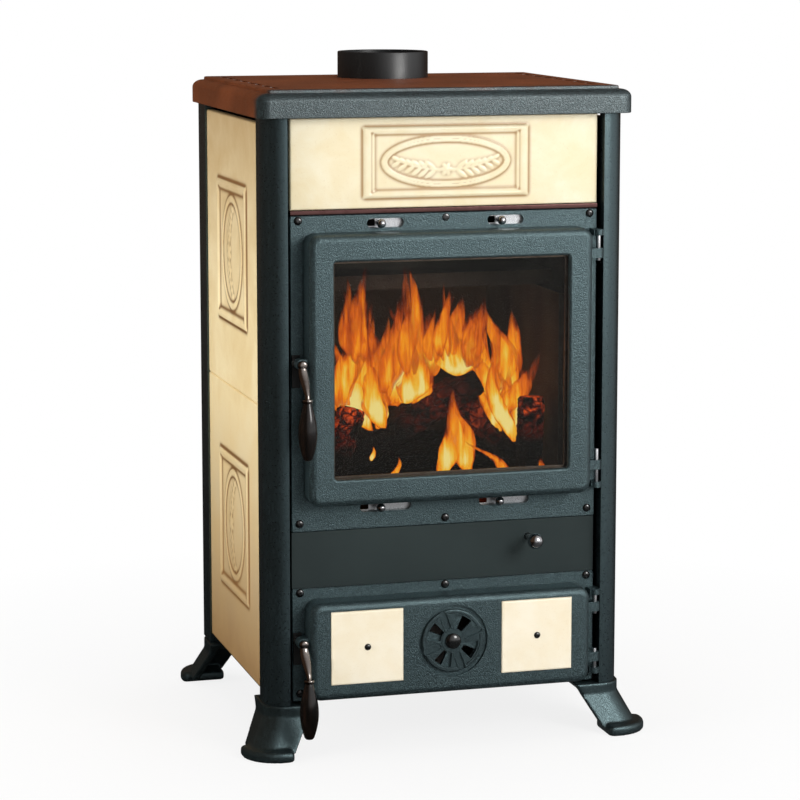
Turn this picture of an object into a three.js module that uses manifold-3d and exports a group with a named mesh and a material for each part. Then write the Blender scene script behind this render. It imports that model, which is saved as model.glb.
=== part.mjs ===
// A free-standing wood stove clad in glazed tiles: a glass fire door over an ash door, cast
// frames and corner posts, splayed cast feet, a cast top plate with a flue collar.
// Millimetres, +Z up. The front faces -Y and +X is on the right of someone facing the front.
// The origin is on the floor, under the middle of everything the stove holds.

import * as THREE from 'three';
import { mergeVertices } from 'three/addons/utils/BufferGeometryUtils.js';
import Module from 'manifold-3d';

const wasm = await Module();
wasm.setup();

// ---------------------------------------------------------------- driving dimensions

const FIT_GAP = 0.3; // play between two pieces that touch or seat on each other
const JOINT_GAP = 0.5; // visible joint between two panels of the front

// Corner posts: bent plate, quarter-round at the front, a tighter bend at the back.
const BODY_WIDTH = 504; // over the posts
const BODY_DEPTH = 426;
const POST_THICKNESS = 3;
const FRONT_POST_FACE = 31.5; // width seen from the front
const FRONT_POST_SIDE = 48; // width seen from the side
const FRONT_POST_RADIUS = 30;
const REAR_POST_FACE = 56;
const REAR_POST_SIDE = 54;
const REAR_POST_RADIUS = 10;
const POST_LIP = 13; // the lip that each side of a post turns in
const FRONT_POST_LIP = 20;

// Feet: a block under the post, a splayed angle leg and a toe pad.
const FOOT_HEIGHT = 67;
const FOOT_PROUD = 3; // how far the block stands outside the post
const FOOT_FACE = 69;
const FOOT_SIDE = 75;
const FOOT_BLOCK_HEIGHT = 15;
const FOOT_CAP_THICKNESS = 8;
const FOOT_WALL = 11;
const LEG_SPLAY = 22; // outward shift of the leg's outside, from the block to the toe
const LEG_LEAN = 34; // outward shift of the leg's inner edges, from the block's top to the toe
const TOE_REACH_X = 32; // toe pad outside the block
const TOE_REACH_Y = 37;
const TOE_FACE = 63.5;
const TOE_SIDE = 61;
const TOE_HEIGHT = 14;
const TOE_RADIUS = 48;
const TOE_INNER_RADIUS = 7;
const TOE_SOLE_EDGE = 2; // chamfer round the sole
const TOE_TOP_EDGE = 5; // rounding round the toe's top

// Top plate and flue collar.
const PLATE_OVERHANG = 8;
const PLATE_FASCIA = 21.5; // upright part of the edge
const PLATE_SHOULDER_RISE = 11; // quarter of an ellipse above it
const PLATE_SHOULDER_DEPTH = 15;
const PLATE_CORNER_RADIUS = 16;
const PLATE_INNER_RADIUS = 6;
const LIP_INSET = 16;
const LIP_EDGE = 1; // chamfer of the lip's upper edge
const LIP_CORNER_RADIUS = 4;
const LIP_HEIGHT = 4.5;
const PLATE_WALL = 12;
const PLATE_TOP_THICKNESS = 10;
const VENT_COUNT = 8; // warm-air slots along each side
const VENT_LENGTH = 38;
const VENT_WIDTH = 8.5;
const VENT_PITCH = 45;
const VENT_INSET = 30; // slot's middle inside the body's side
const VENT_ROW_MIDDLE = 9; // the row's middle, behind the plate's middle
const FLUE_DIAMETER = 130;
const FLUE_WALL = 4;
const FLUE_RISE = 37; // above the plate
const FLUE_SETBACK = 115; // behind the plate's middle
const FLUE_FLANGE = 9;
const FLUE_FLANGE_THICKNESS = 4.5;
const FLUE_EDGE = 0.8; // chamfer of its upper rim

// Front: from the bottom a lower frame, a sheet panel, an upper frame, a trim strip and a slab.
const FRAME_CLEARANCE = 2; // lower frame above the feet
const PANEL_SETBACK = 12; // front panels behind the posts' front
const PANEL_SIDE_GAP = 5.5;
const FRAME_THICKNESS = 8;
const FRAME_CORNER_RADIUS = 2.5;
const FRAME_EDGE = 1.2;
const OPENING_RADIUS = 10; // corners of the openings behind the doors
const DOOR_SIDE_MARGIN = 17;
const ASH_DOOR_HEIGHT = 134;
const ASH_DOOR_LOWER_MARGIN = 7;
const ASH_DOOR_UPPER_MARGIN = 14.5;
const MIDDLE_PANEL_HEIGHT = 77;
const MIDDLE_PANEL_RECESS = 2;
const MIDDLE_PANEL_THICKNESS = 3;
const FIRE_DOOR_HEIGHT = 364;
const FIRE_DOOR_LOWER_MARGIN = 39;
const FIRE_DOOR_UPPER_MARGIN = 23.5;
const TRIM_HEIGHT = 6;
const TRIM_PROUD = 1.5;
const CERAMIC_HEIGHT = 121.5;
const FRONT_RELIEF_WIDTH = 230;
const FRONT_RELIEF_HEIGHT = 94;
const FRONT_RELIEF_SIDE_BAR = 15.5;
const FRONT_RELIEF_LEVEL_BAR = 9; // upper and lower bar
const FRONT_OVAL_WIDTH = 177;
const FRONT_OVAL_HEIGHT = 67;
const RELIEF_PROUD = 3;
const RELIEF_CORNER_RADIUS = 3;
const RELIEF_ROOT = 1; // how deep the relief reaches into its slab
const SLAB_CORNER_RADIUS = 2.5;
const SLAB_EDGE_RADIUS = 1.5;
const OVAL_PROUD = 2.2;
const OVAL_BAND = 6;

// Doors.
const DOOR_SEAT_GAP = 1; // door casting in front of its frame
const DOOR_THICKNESS = 36;
const DOOR_EDGE_RADIUS = 10;
const DOOR_CORNER_RADIUS = 16;
const DOOR_INNER_RADIUS = 6; // corners of the hollow in a door's back
const DOOR_RIM = 16; // width of the wall round the back of a door
const FIRE_DOOR_FACE = 8; // thickness of the fire door's face
const ASH_DOOR_FACE = 10;
const ROPE_INSET = 4; // gasket groove from the door's edge
const ROPE_GROOVE = 9;
const ROPE_DEPTH = 7;
const ROPE_RADIUS = 10; // outer corners of the rope's groove
const ROOT_IN_DOOR = 6; // how far a knuckle or a lug reaches into its door
const WINDOW_SIDE_BAR = 34;
const WINDOW_LOWER_BAR = 36.5;
const WINDOW_UPPER_BAR = 36;
const WINDOW_RADIUS = 4;
const WINDOW_CHAMFER = 2.5;
const GLASS_RADIUS = 6;
const GLASS_THICKNESS = 4;
const GLASS_LAP = 8;
const RETAINER_THICKNESS = 2;
const RETAINER_LAP = 14;
const RETAINER_PROUD = 3; // how far the retainer shows inside the window

// Hinges, on the right of both doors.
const HINGE_SETOUT = 13.5; // pin axis outside the door's edge
const PIN_RADIUS = 3;
const KNUCKLE_RADIUS = 6.5;
const KNUCKLE_HEIGHT = 13;
const PIN_HEIGHT_OFF_FRAME = 16; // pin axis in front of the panels
const FIRE_HINGE_FROM_END = 36; // knuckle middle from the door's top and bottom
const ASH_HINGE_FROM_END = 31.5;
const FIRE_EAR_REACH = 28; // ear middle beyond the knuckle's middle
const ASH_EAR_REACH = 20;
const EAR_HEIGHT = 8;
const EAR_INWARD = 7; // ear's inner side from the pin's axis
const EAR_SHOULDER = 2; // ear's straight part past the pin's axis
const PIN_TAIL = 11; // pin past the knuckle's middle, away from the ear

// Latch handles, on the left of both doors.
const PIVOT_SETOUT = 8; // pivot outside the door's edge
const FIRE_PIVOT_HEIGHT = 192; // above the door's bottom
const ASH_PIVOT_HEIGHT = 79;
const LATCH_LUG_RADIUS = 7.5;
const LATCH_LUG_FRONT = 26; // lug's front in the door's thickness
const LATCH_LUG_BACK = 9;
const PIVOT_RADIUS = 3.5;
const HUB_RADIUS = 6.5;
const HUB_THICKNESS = 8;
const LEVER_DROP = 42; // pivot to the ferrule
const LEVER_THICKNESS = 7;
const LEVER_WIDTHS = [ // along the lever, from the pivot to the ferrule
  { t: 0, width: 11 },
  { t: 0.25, width: 12 },
  { t: 0.55, width: 9 },
  { t: 0.8, width: 7 },
  { t: 1, width: 8 },
];
const LEVER_REACH = 26; // ferrule in front of the hub's middle
const FERRULE_HEIGHT = 5;
const FERRULE_RADIUS = 7;
const GRIP_LENGTH = 76;
const GRIP_RADIUS = 12.8;
const GRIP_NECK_RADIUS = 5.2;
const GRIP_END_RADIUS = 5.6;
const NOSE_LENGTH = 9.5;
const NOSE_THICKNESS = 3.5;
const NOSE_WIDTH = 8;
const CATCH_HEIGHT = 44;
const CATCH_WIDTH = 11.5;
const CATCH_THICKNESS = 3;
const CATCH_SIDE_GAP = 1; // plate inside the frame's edge
const CATCH_ABOVE_PIVOT = 10;
const RAMP_RISE = 2.6; // ramp on the plate, under the latch's nose
const RAMP_WIDTH = 7;
const RAMP_LENGTH = 14;
const RAMP_LEAN = 2; // how far its crest lies below its middle
const RAMP_FROM_EDGE = 4.5;

// Air slides behind the upper frame.
const UPPER_SLOT_LENGTH = 51.5;
const LOWER_SLOT_LENGTH = 72;
const SLOT_HEIGHT = 12.5;
const SLOT_OFFSET = 84; // slot middle from the stove's middle
const UPPER_SLOT_DROP = 12.5; // below the upper frame's top
const LOWER_SLOT_RISE = 29.5; // above the upper frame's bottom
const SLIDE_THICKNESS = 2.2;
const SLIDE_HEIGHT = 18;
const SLIDE_LENGTH = 254;
const UPPER_KNOB_SHIFT = -8; // knob from the slot's middle
const LOWER_KNOB_SHIFT = -9;
const SLIDE_KNOB_RADIUS = 6.2;
const SLIDE_STEM_RADIUS = 2.5;
const SLIDE_KNOB_REACH = 15; // knob's front from the frame
const SLIDE_WINDOW_LENGTH = 14;
const SLIDE_WINDOW_HEIGHT = 9;
const SLIDE_WINDOW_WEB = 2; // least sheet between a window and a knob's stem
const SLIDE_STEM_TAIL = 2; // stem behind the plate

// Ash door face.
const TILE_SIZE = 100;
const TILE_THICKNESS = 8;
const TILE_POCKET_DEPTH = 6;
const TILE_POCKET_RADIUS = 2;
const TILE_PLAY = 0.6;
const TILE_CORNER_RADIUS = 3;
const TILE_SIDE_MARGIN = 28; // tile inside the ash door's side
const TILE_RISE = 72.5; // tile middle above the door's bottom
const TILE_HOLE_RADIUS = 3.2;
const REGISTER_DIAMETER = 99; // round recess that the disc turns in
const REGISTER_DEPTH = 4;
const REGISTER_DISC_DIAMETER = 87;
const REGISTER_DISC_THICKNESS = 5;
const REGISTER_WINDOWS = 4;
const REGISTER_WINDOW_ANGLE = 42; // degrees
const REGISTER_WINDOW_START = 45; // degrees, middle of the door's first window
const REGISTER_REST_TURN = 20; // degrees, half open
const REGISTER_INNER_RADIUS = 17;
const REGISTER_OUTER_RADIUS = 36.5;
const FINGER_GROOVE_WIDTH = 8;
const FINGER_GROOVE_DEPTH = 2.5;
const HUB_CAP_RADIUS = 11;
const HUB_CAP_HEIGHT = 6.7;
const HUB_STEM_RADIUS = 4;
const HUB_STEM_TAIL = 3; // stem behind the door's face

// Side cladding.
const SIDE_TILE_THICKNESS = 10;
const SIDE_TILE_RECESS = 2.5; // tile face behind the post's side
const SIDE_TILE_BOTTOM = 13; // lowest tile edge above the feet
const SIDE_TILE_TOP_GAP = 8; // highest tile edge under the top plate
const SIDE_RELIEF_WIDTH = 183;
const SIDE_RELIEF_HEIGHT = 196;
const SIDE_RELIEF_SIDE_BAR = 14;
const SIDE_RELIEF_LEVEL_BAR = 13;
const SIDE_OVAL_WIDTH = 125;
const SIDE_OVAL_HEIGHT = 155;
const SIDE_SEAM_RISE = 6; // seam between the two tiles above the middle of both
const CARRIER_THICKNESS = 2;
const CARRIER_LIP_THICKNESS = 1.5;
const CARRIER_LIP_SETBACK = 2; // lip's edge behind the tile's face
const CARRIER_TILE_GAP = 0.8; // sheet behind the tiles' backs
const CARRIER_END_GAP = 24; // sheet's ends inside the body's front and back
const BACK_PANEL_THICKNESS = 2;
const BACK_PANEL_SIDE_GAP = 6; // inside the side tiles' backs
const BACK_SLOT_COUNT = 6;
const BACK_SLOT_LENGTH = 150;
const BACK_SLOT_HEIGHT = 8;
const BACK_SLOT_PITCH = 18;
const BACK_SLOT_START = 90; // lowest and highest slot from the panel's ends

// Firebox and what is in it.
const BASE_THICKNESS = 3;
const BASE_SIDE_GAP = 4; // inside the side tiles' backs
const BASE_FRONT_GAP = 2; // behind the firebox's front
const BASE_REAR_GAP = 7; // in front of the body's back
const SHELL_WIDTH = 400;
const SHELL_REAR_GAP = 28; // shell in front of the body's back
const SHELL_WALL = 4;
const SHELL_ABOVE_BODY = 20; // shell's top above the posts
const FIRE_FLOOR_HEIGHT = 233; // above the feet
const FIRE_MOUTH_DROP = 2.5; // top of the shell's mouth under the upper frame's top
const ASH_HOLE_WIDTH = 160;
const ASH_HOLE_DEPTH = 120;
const SMOKE_HOLE_RADIUS = 60;
const BRICK_THICKNESS = 25;
const BRICK_HEIGHT = 306;
const BRICK_SETBACK = 28; // bricks behind the front panels
const HEARTH_THICKNESS = 18;
const GRATE_SLIDE = 25;
const GRATE_LENGTH = 165;
const GRATE_WIDTH = 190;
const GRATE_THICKNESS = 14;
const GRATE_SLOTS = 9;
const GRATE_SLOT_WIDTH = 9;
const GRATE_END_BAR = 14; // solid bar at the grate's front and back
const GRATE_PLAY = 1;
const GRATE_FRONT_PLAY = 4; // room left in front of the grate when it is pulled
const GRATE_FRONT = -76; // grate's front edge from the body's middle
const BAFFLE_THICKNESS = 20;
const BAFFLE_DEPTH = 250;
const SHAKER_X = 119;
const SHAKER_DROP = 24; // rod under the upper frame
const SHAKER_ROD_RADIUS = 4;
const SHAKER_HOLE_PLAY = 0.8;
const SHAKER_KNOB_RADIUS = 11;
const SHAKER_REACH = 42; // knob's front from the panels
const SHAKER_ARM_X = 60;
const SHAKER_ARM_DEPTH = 10; // arm behind the body's middle
const ASH_PAN_WIDTH = 320;
const ASH_PAN_DEPTH = 300;
const ASH_PAN_HEIGHT = 86;
const ASH_PAN_SHEET = 1.5;
const ASH_PAN_SETBACK = 21; // pan behind the front panels
const ASH_OPENING_MARGIN = 16; // frame opening inside the ash door's edge
const FIRE_OPENING_MARGIN = 23.5;
const SHELF_THICKNESS = 2;
const SHELF_MARGIN = 6; // shelf past the pan, all round

// ---------------------------------------------------------------- places worked out from them

const HALF_WIDTH = BODY_WIDTH / 2;
const HALF_DEPTH = BODY_DEPTH / 2;
const PANEL_WIDTH = BODY_WIDTH - 2 * (FRONT_POST_FACE + PANEL_SIDE_GAP);
const PANEL_PLANE = -HALF_DEPTH + PANEL_SETBACK;
const FRAME_BACK = -FRAME_THICKNESS;

const LOWER_FRAME_BOTTOM = FOOT_HEIGHT + FRAME_CLEARANCE;
const ASH_DOOR_BOTTOM = LOWER_FRAME_BOTTOM + ASH_DOOR_LOWER_MARGIN;
const LOWER_FRAME_TOP = ASH_DOOR_BOTTOM + ASH_DOOR_HEIGHT + ASH_DOOR_UPPER_MARGIN;
const MIDDLE_BOTTOM = LOWER_FRAME_TOP + JOINT_GAP;
const MIDDLE_TOP = MIDDLE_BOTTOM + MIDDLE_PANEL_HEIGHT;
const UPPER_FRAME_BOTTOM = MIDDLE_TOP + JOINT_GAP;
const FIRE_DOOR_BOTTOM = UPPER_FRAME_BOTTOM + FIRE_DOOR_LOWER_MARGIN;
const UPPER_FRAME_TOP = FIRE_DOOR_BOTTOM + FIRE_DOOR_HEIGHT + FIRE_DOOR_UPPER_MARGIN;
const TRIM_BOTTOM = UPPER_FRAME_TOP + JOINT_GAP;
const CERAMIC_BOTTOM = TRIM_BOTTOM + TRIM_HEIGHT + JOINT_GAP;
const BODY_TOP = CERAMIC_BOTTOM + CERAMIC_HEIGHT;
const PLATE_BOTTOM = BODY_TOP + JOINT_GAP;
const PLATE_TOP = PLATE_BOTTOM + PLATE_FASCIA + PLATE_SHOULDER_RISE + LIP_HEIGHT;
const POST_BOTTOM = FOOT_HEIGHT + FIT_GAP;

const DOOR_WIDTH = PANEL_WIDTH - 2 * DOOR_SIDE_MARGIN;
const HINGE_X = DOOR_WIDTH / 2 + HINGE_SETOUT;
const PIN_IN_DOOR = PIN_HEIGHT_OFF_FRAME - DOOR_SEAT_GAP;
const PIVOT_X = -DOOR_WIDTH / 2 - PIVOT_SETOUT;
const TILE_OFFSET = DOOR_WIDTH / 2 - TILE_SIDE_MARGIN - TILE_SIZE / 2;

const TILE_FACE = HALF_WIDTH - SIDE_TILE_RECESS;
const TILE_BACK = TILE_FACE - SIDE_TILE_THICKNESS;
const TILE_LOW = FOOT_HEIGHT + SIDE_TILE_BOTTOM;
const TILE_HIGH = BODY_TOP - SIDE_TILE_TOP_GAP;
const TILE_REAR = HALF_DEPTH - REAR_POST_SIDE - JOINT_GAP;
const TILE_FRONT = -HALF_DEPTH + FRONT_POST_SIDE + JOINT_GAP;

const BASE_TOP = POST_BOTTOM + BASE_THICKNESS;
const SHELL_FRONT = PANEL_PLANE + FRAME_THICKNESS + FIT_GAP;
const SHELL_BACK = HALF_DEPTH - SHELL_REAR_GAP;
const SHELL_BOTTOM = BASE_TOP + FIT_GAP;
const SHELL_TOP = BODY_TOP + SHELL_ABOVE_BODY;
const SHELL_INNER = SHELL_WIDTH / 2 - SHELL_WALL;
const FIRE_FLOOR = FOOT_HEIGHT + FIRE_FLOOR_HEIGHT;
const HEARTH_Z = FIRE_FLOOR + SHELL_WALL + FIT_GAP;
const UPPER_SLOT_Z = UPPER_FRAME_TOP - UPPER_SLOT_DROP;
const LOWER_SLOT_Z = UPPER_FRAME_BOTTOM + LOWER_SLOT_RISE;
const SHAKER_Z = UPPER_FRAME_BOTTOM - SHAKER_DROP;
const PAN_Z = ASH_DOOR_BOTTOM + ASH_OPENING_MARGIN + FIT_GAP + SHELF_THICKNESS;

// ---------------------------------------------------------------- finishes

function finish(color, roughness, metalness) {
  return new THREE.MeshStandardMaterial({ color, roughness, metalness });
}

const CAST_PAINT = finish(0x465158, 0.55, 0.3);
const SHEET_PAINT = finish(0x2f3838, 0.6, 0.2);
const BLACK_STEEL = finish(0x1b1c1d, 0.45, 0.5);
const IVORY_GLAZE = finish(0xf3e3bd, 0.25, 0);
const OCHRE_GLAZE = finish(0xcfae74, 0.3, 0);
const CHROME = finish(0xd8d8da, 0.15, 1);
const BRIGHT_STEEL = finish(0xb9bcc0, 0.3, 0.9);
const BLACK_GRIP = finish(0x0c0b0a, 0.15, 0);
const FIREBRICK = finish(0x8d7f6a, 0.95, 0);
const CAST_IRON = finish(0x2a2927, 0.8, 0.4);
const ROPE = finish(0x3b3a38, 1, 0);
const GLASS = finish(0x1a1613, 0.05, 0);

// ---------------------------------------------------------------- making solids

/** Six times the signed volume of an indexed mesh. */
function signedVolume(position, index) {
  const [a, b, c] = [new THREE.Vector3(), new THREE.Vector3(), new THREE.Vector3()];
  let volume = 0;
  for (let i = 0; i < index.count; i += 3) {
    a.fromBufferAttribute(position, index.getX(i));
    b.fromBufferAttribute(position, index.getX(i + 1));
    c.fromBufferAttribute(position, index.getX(i + 2));
    volume += a.dot(b.cross(c));
  }
  return volume;
}

/** A closed three.js geometry as a solid that can be cut and joined, its faces pointing out. */
function solid(geometry) {
  const bare = geometry.clone();
  bare.deleteAttribute('normal');
  bare.deleteAttribute('uv');
  const merged = mergeVertices(bare, 1e-4);
  const { position } = merged.attributes;
  const triangles = Array.from(merged.index.array);
  if (signedVolume(position, merged.index) < 0) {
    triangles.reverse();
  }
  return new wasm.Manifold(new wasm.Mesh({
    numProp: 3,
    vertProperties: Float32Array.from(position.array),
    triVerts: Uint32Array.from(triangles),
  }));
}

/** All the solids joined into one. */
function join(first, ...others) {
  return others.reduce((whole, other) => whole.add(other), first);
}

/** The first solid with all the others cut away. */
function cut(first, ...others) {
  return others.reduce((whole, other) => whole.subtract(other), first);
}

/** A named mesh of a solid. */
function piece(name, body, material) {
  const { vertProperties, triVerts } = body.getMesh();
  const geometry = new THREE.BufferGeometry();
  geometry.setAttribute('position', new THREE.BufferAttribute(Float32Array.from(vertProperties), 3));
  geometry.setIndex(Array.from(triVerts));
  geometry.computeVertexNormals();
  const mesh = new THREE.Mesh(geometry, material);
  mesh.name = name;
  return mesh;
}

function group(...children) {
  const result = new THREE.Group();
  result.add(...children);
  return result;
}

/** A box between two opposite corners. */
function block([x0, y0, z0], [x1, y1, z1]) {
  const geometry = new THREE.BoxGeometry(x1 - x0, y1 - y0, z1 - z0);
  return solid(geometry.translate((x0 + x1) / 2, (y0 + y1) / 2, (z0 + z1) / 2));
}

/** An outline drawn in X and Y, as a prism from one height to another. */
function prism(outline, from, to) {
  const shape = new THREE.Shape(outline);
  const geometry = new THREE.ExtrudeGeometry(shape, { depth: to - from, bevelEnabled: false, steps: 1 });
  return solid(geometry.translate(0, 0, from));
}

/** A round bar along Z. */
function bar(radius, x, y, from, to, sides = 24) {
  const geometry = new THREE.CylinderGeometry(radius, radius, to - from, sides);
  return solid(geometry.rotateX(Math.PI / 2).translate(x, y, (from + to) / 2));
}

/** A profile of [radius, height] points turned round Z. */
function turned(profile, sides = 24) {
  const points = profile.map(([radius, height]) => new THREE.Vector2(radius, height));
  return solid(new THREE.LatheGeometry(points, sides).rotateX(Math.PI / 2));
}

/** A ball with a flat cut and a stem on its back, turned round Z, its front at the reach. */
function knobProfile(radius, stemRadius, stemBack, reach) {
  const neckAngle = Math.PI - Math.asin(stemRadius / radius);
  const points = [[0, stemBack], [stemRadius, stemBack]];
  const steps = 7;
  for (let step = 0; step <= steps; step += 1) {
    const angle = neckAngle * (1 - step / steps);
    points.push([radius * Math.sin(angle), reach - radius + radius * Math.cos(angle)]);
  }
  points[points.length - 1][0] = 0;
  return points;
}

/** Rounded rectangle round a middle point, counter-clockwise. */
function roundedRect(width, height, radius, x = 0, y = 0, steps = 4) {
  const corners = [[1, 1], [-1, 1], [-1, -1], [1, -1]];
  return corners.flatMap(([sideX, sideY], quarter) => {
    const points = [];
    for (let step = 0; step <= steps; step += 1) {
      const angle = (quarter + step / steps) * Math.PI / 2;
      points.push(new THREE.Vector2(
        x + sideX * (width / 2 - radius) + radius * Math.cos(angle),
        y + sideY * (height / 2 - radius) + radius * Math.sin(angle),
      ));
    }
    return points;
  });
}

/** An ellipse round a middle point. */
function ellipse(width, height, x = 0, y = 0, steps = 32) {
  return Array.from({ length: steps }, (_, step) => {
    const angle = step / steps * 2 * Math.PI;
    return new THREE.Vector2(x + width / 2 * Math.cos(angle), y + height / 2 * Math.sin(angle));
  });
}

/** A sector of a ring: its middle angle and its spread in degrees. */
function wedge(innerRadius, outerRadius, middle, spread, x, y) {
  const steps = 3;
  const at = (radius, share) => {
    const angle = THREE.MathUtils.degToRad(middle + spread * (share - 0.5));
    return new THREE.Vector2(x + radius * Math.cos(angle), y + radius * Math.sin(angle));
  };
  const outer = Array.from({ length: steps + 1 }, (_, step) => at(outerRadius, step / steps));
  const inner = Array.from({ length: steps + 1 }, (_, step) => at(innerRadius, 1 - step / steps));
  return [...outer, ...inner];
}

/** A skin over level outlines of equal point count, given as [outline, height] from the bottom up. */
function loft(sections) {
  const count = sections[0][0].length;
  const positions = sections.flatMap(([outline, height]) => outline.flatMap(({ x, y }) => [x, y, height]));
  const indices = [];
  for (let section = 0; section + 1 < sections.length; section += 1) {
    for (let i = 0; i < count; i += 1) {
      const next = (i + 1) % count;
      const low = section * count;
      const high = low + count;
      indices.push(low + i, low + next, high + next);
      indices.push(low + i, high + next, high + i);
    }
  }
  const lastStart = (sections.length - 1) * count;
  THREE.ShapeUtils.triangulateShape(sections[0][0], []).forEach(([a, b, c]) => {
    indices.push(c, b, a);
  });
  THREE.ShapeUtils.triangulateShape(sections.at(-1)[0], []).forEach(([a, b, c]) => {
    indices.push(lastStart + a, lastStart + b, lastStart + c);
  });
  const geometry = new THREE.BufferGeometry();
  geometry.setAttribute('position', new THREE.Float32BufferAttribute(positions, 3));
  geometry.setIndex(indices);
  return solid(geometry);
}

/** A rectangular slab from height 0 up, its front edges rounded over. */
function roundedSlab(width, height, thickness, cornerRadius, edgeRadius, steps = 3) {
  const sections = [[roundedRect(width, height, cornerRadius), 0]];
  for (let step = 0; step <= steps; step += 1) {
    const angle = step / steps * Math.PI / 2;
    const inset = edgeRadius * (1 - Math.cos(angle));
    const level = thickness - edgeRadius * (1 - Math.sin(angle));
    const outline = roundedRect(width - 2 * inset, height - 2 * inset, cornerRadius - inset);
    sections.push([outline, level]);
  }
  return loft(sections);
}

/** A flat ring between two rounded rectangles. */
function rectRing(outerWidth, outerHeight, band, radius, x, y, from, to) {
  const outer = prism(roundedRect(outerWidth, outerHeight, radius, x, y), from, to);
  const innerRadius = Math.max(radius - band, 1);
  const inner = roundedRect(outerWidth - 2 * band, outerHeight - 2 * band, innerRadius, x, y);
  return cut(outer, prism(inner, from - 1, to + 1));
}

/** A group whose children are drawn as seen from outside: X right, Y up, Z towards the viewer. */
function facade(turn, distance, ...children) {
  const result = group(...children);
  result.rotation.set(Math.PI / 2, 0, turn, 'ZYX');
  result.position.set(distance * Math.sin(turn), -distance * Math.cos(turn), 0);
  return result;
}

/** The four quarters of the plan, each with its name and the signs of its X and Y. */
const QUARTERS = [
  { name: 'front_left', sideX: -1, sideY: -1 },
  { name: 'front_right', sideX: 1, sideY: -1 },
  { name: 'rear_left', sideX: -1, sideY: 1 },
  { name: 'rear_right', sideX: 1, sideY: 1 },
];

/** An outline drawn in the +X +Y quarter, moved to another one and kept counter-clockwise. */
function toQuarter(outline, { sideX, sideY }) {
  const points = outline.map(({ x, y }) => new THREE.Vector2(x * sideX, y * sideY));
  return THREE.ShapeUtils.isClockWise(points) ? points.reverse() : points;
}

/** Points of a quarter arc in the +X +Y quarter, from the +Y side round to the +X side. */
function cornerArc(x, y, radius, steps) {
  return Array.from({ length: steps + 1 }, (_, step) => {
    const angle = (1 - step / steps) * Math.PI / 2;
    return new THREE.Vector2(x + radius * Math.cos(angle), y + radius * Math.sin(angle));
  });
}

// ---------------------------------------------------------------- feet and base

/** An angle in plan: an outer corner with a radius, two walls and the arc inside it. */
function angleOutline(cornerX, cornerY, lengthX, lengthY, radius, wall) {
  const outer = cornerArc(cornerX - radius, cornerY - radius, radius, 6);
  const inner = cornerArc(cornerX - radius, cornerY - radius, radius - wall, 4);
  return [
    new THREE.Vector2(cornerX - lengthX, cornerY),
    ...outer,
    new THREE.Vector2(cornerX, cornerY - lengthY),
    new THREE.Vector2(cornerX - wall, cornerY - lengthY),
    ...inner.reverse(),
    new THREE.Vector2(cornerX - lengthX, cornerY - wall),
  ];
}

function capOutline(cornerX, cornerY, lengthX, lengthY, radius) {
  return [
    new THREE.Vector2(cornerX - lengthX, cornerY - lengthY),
    new THREE.Vector2(cornerX - lengthX, cornerY),
    ...cornerArc(cornerX - radius, cornerY - radius, radius, 6),
    new THREE.Vector2(cornerX, cornerY - lengthY),
  ];
}

/** Toe pad outline, drawn in by an inset: a large radius outside, small ones inside. */
function toeOutline(cornerX, cornerY, inset) {
  const right = cornerX - inset;
  const top = cornerY - inset;
  const left = cornerX - TOE_FACE + inset;
  const bottom = cornerY - TOE_SIDE + inset;
  const big = TOE_RADIUS - inset;
  const small = TOE_INNER_RADIUS;
  const turn = (x, y, sideX, sideY) => cornerArc(0, 0, small, 3)
    .map((point) => new THREE.Vector2(x + sideX * point.x, y + sideY * point.y));
  return [
    ...cornerArc(right - big, top - big, big, 7),
    ...turn(right - small, bottom + small, 1, -1).reverse(),
    ...turn(left + small, bottom + small, -1, -1),
    ...turn(left + small, top - small, -1, 1).reverse(),
  ];
}

function foot(quarter) {
  const cornerX = HALF_WIDTH + FOOT_PROUD;
  const cornerY = HALF_DEPTH + FOOT_PROUD;
  const radius = FRONT_POST_RADIUS;
  const legEnd = TOE_HEIGHT / 2;
  const section = (outline, height, splay) => {
    const lean = LEG_LEAN * (FOOT_HEIGHT - height) / (FOOT_HEIGHT - legEnd);
    const face = FOOT_FACE + splay - lean;
    const side = FOOT_SIDE + splay - lean;
    const drawn = outline(cornerX + splay, cornerY + splay, face, side, radius, FOOT_WALL);
    return [toQuarter(drawn, quarter), height];
  };
  const toe = (inset) => toQuarter(toeOutline(cornerX + TOE_REACH_X, cornerY + TOE_REACH_Y, inset), quarter);
  return join(
    loft([
      section(capOutline, FOOT_HEIGHT - FOOT_CAP_THICKNESS, 0),
      section(capOutline, FOOT_HEIGHT, 0),
    ]),
    loft([
      section(angleOutline, legEnd, LEG_SPLAY),
      section(angleOutline, FOOT_HEIGHT - FOOT_BLOCK_HEIGHT, 0),
      section(angleOutline, FOOT_HEIGHT - 1, 0),
    ]),
    loft([
      [toe(TOE_SOLE_EDGE), 0],
      [toe(0), TOE_SOLE_EDGE],
      [toe(0), TOE_HEIGHT - TOE_TOP_EDGE],
      [toe(0.3 * TOE_TOP_EDGE), TOE_HEIGHT - 0.3 * TOE_TOP_EDGE],
      [toe(TOE_TOP_EDGE), TOE_HEIGHT],
    ]),
  );
}

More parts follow.
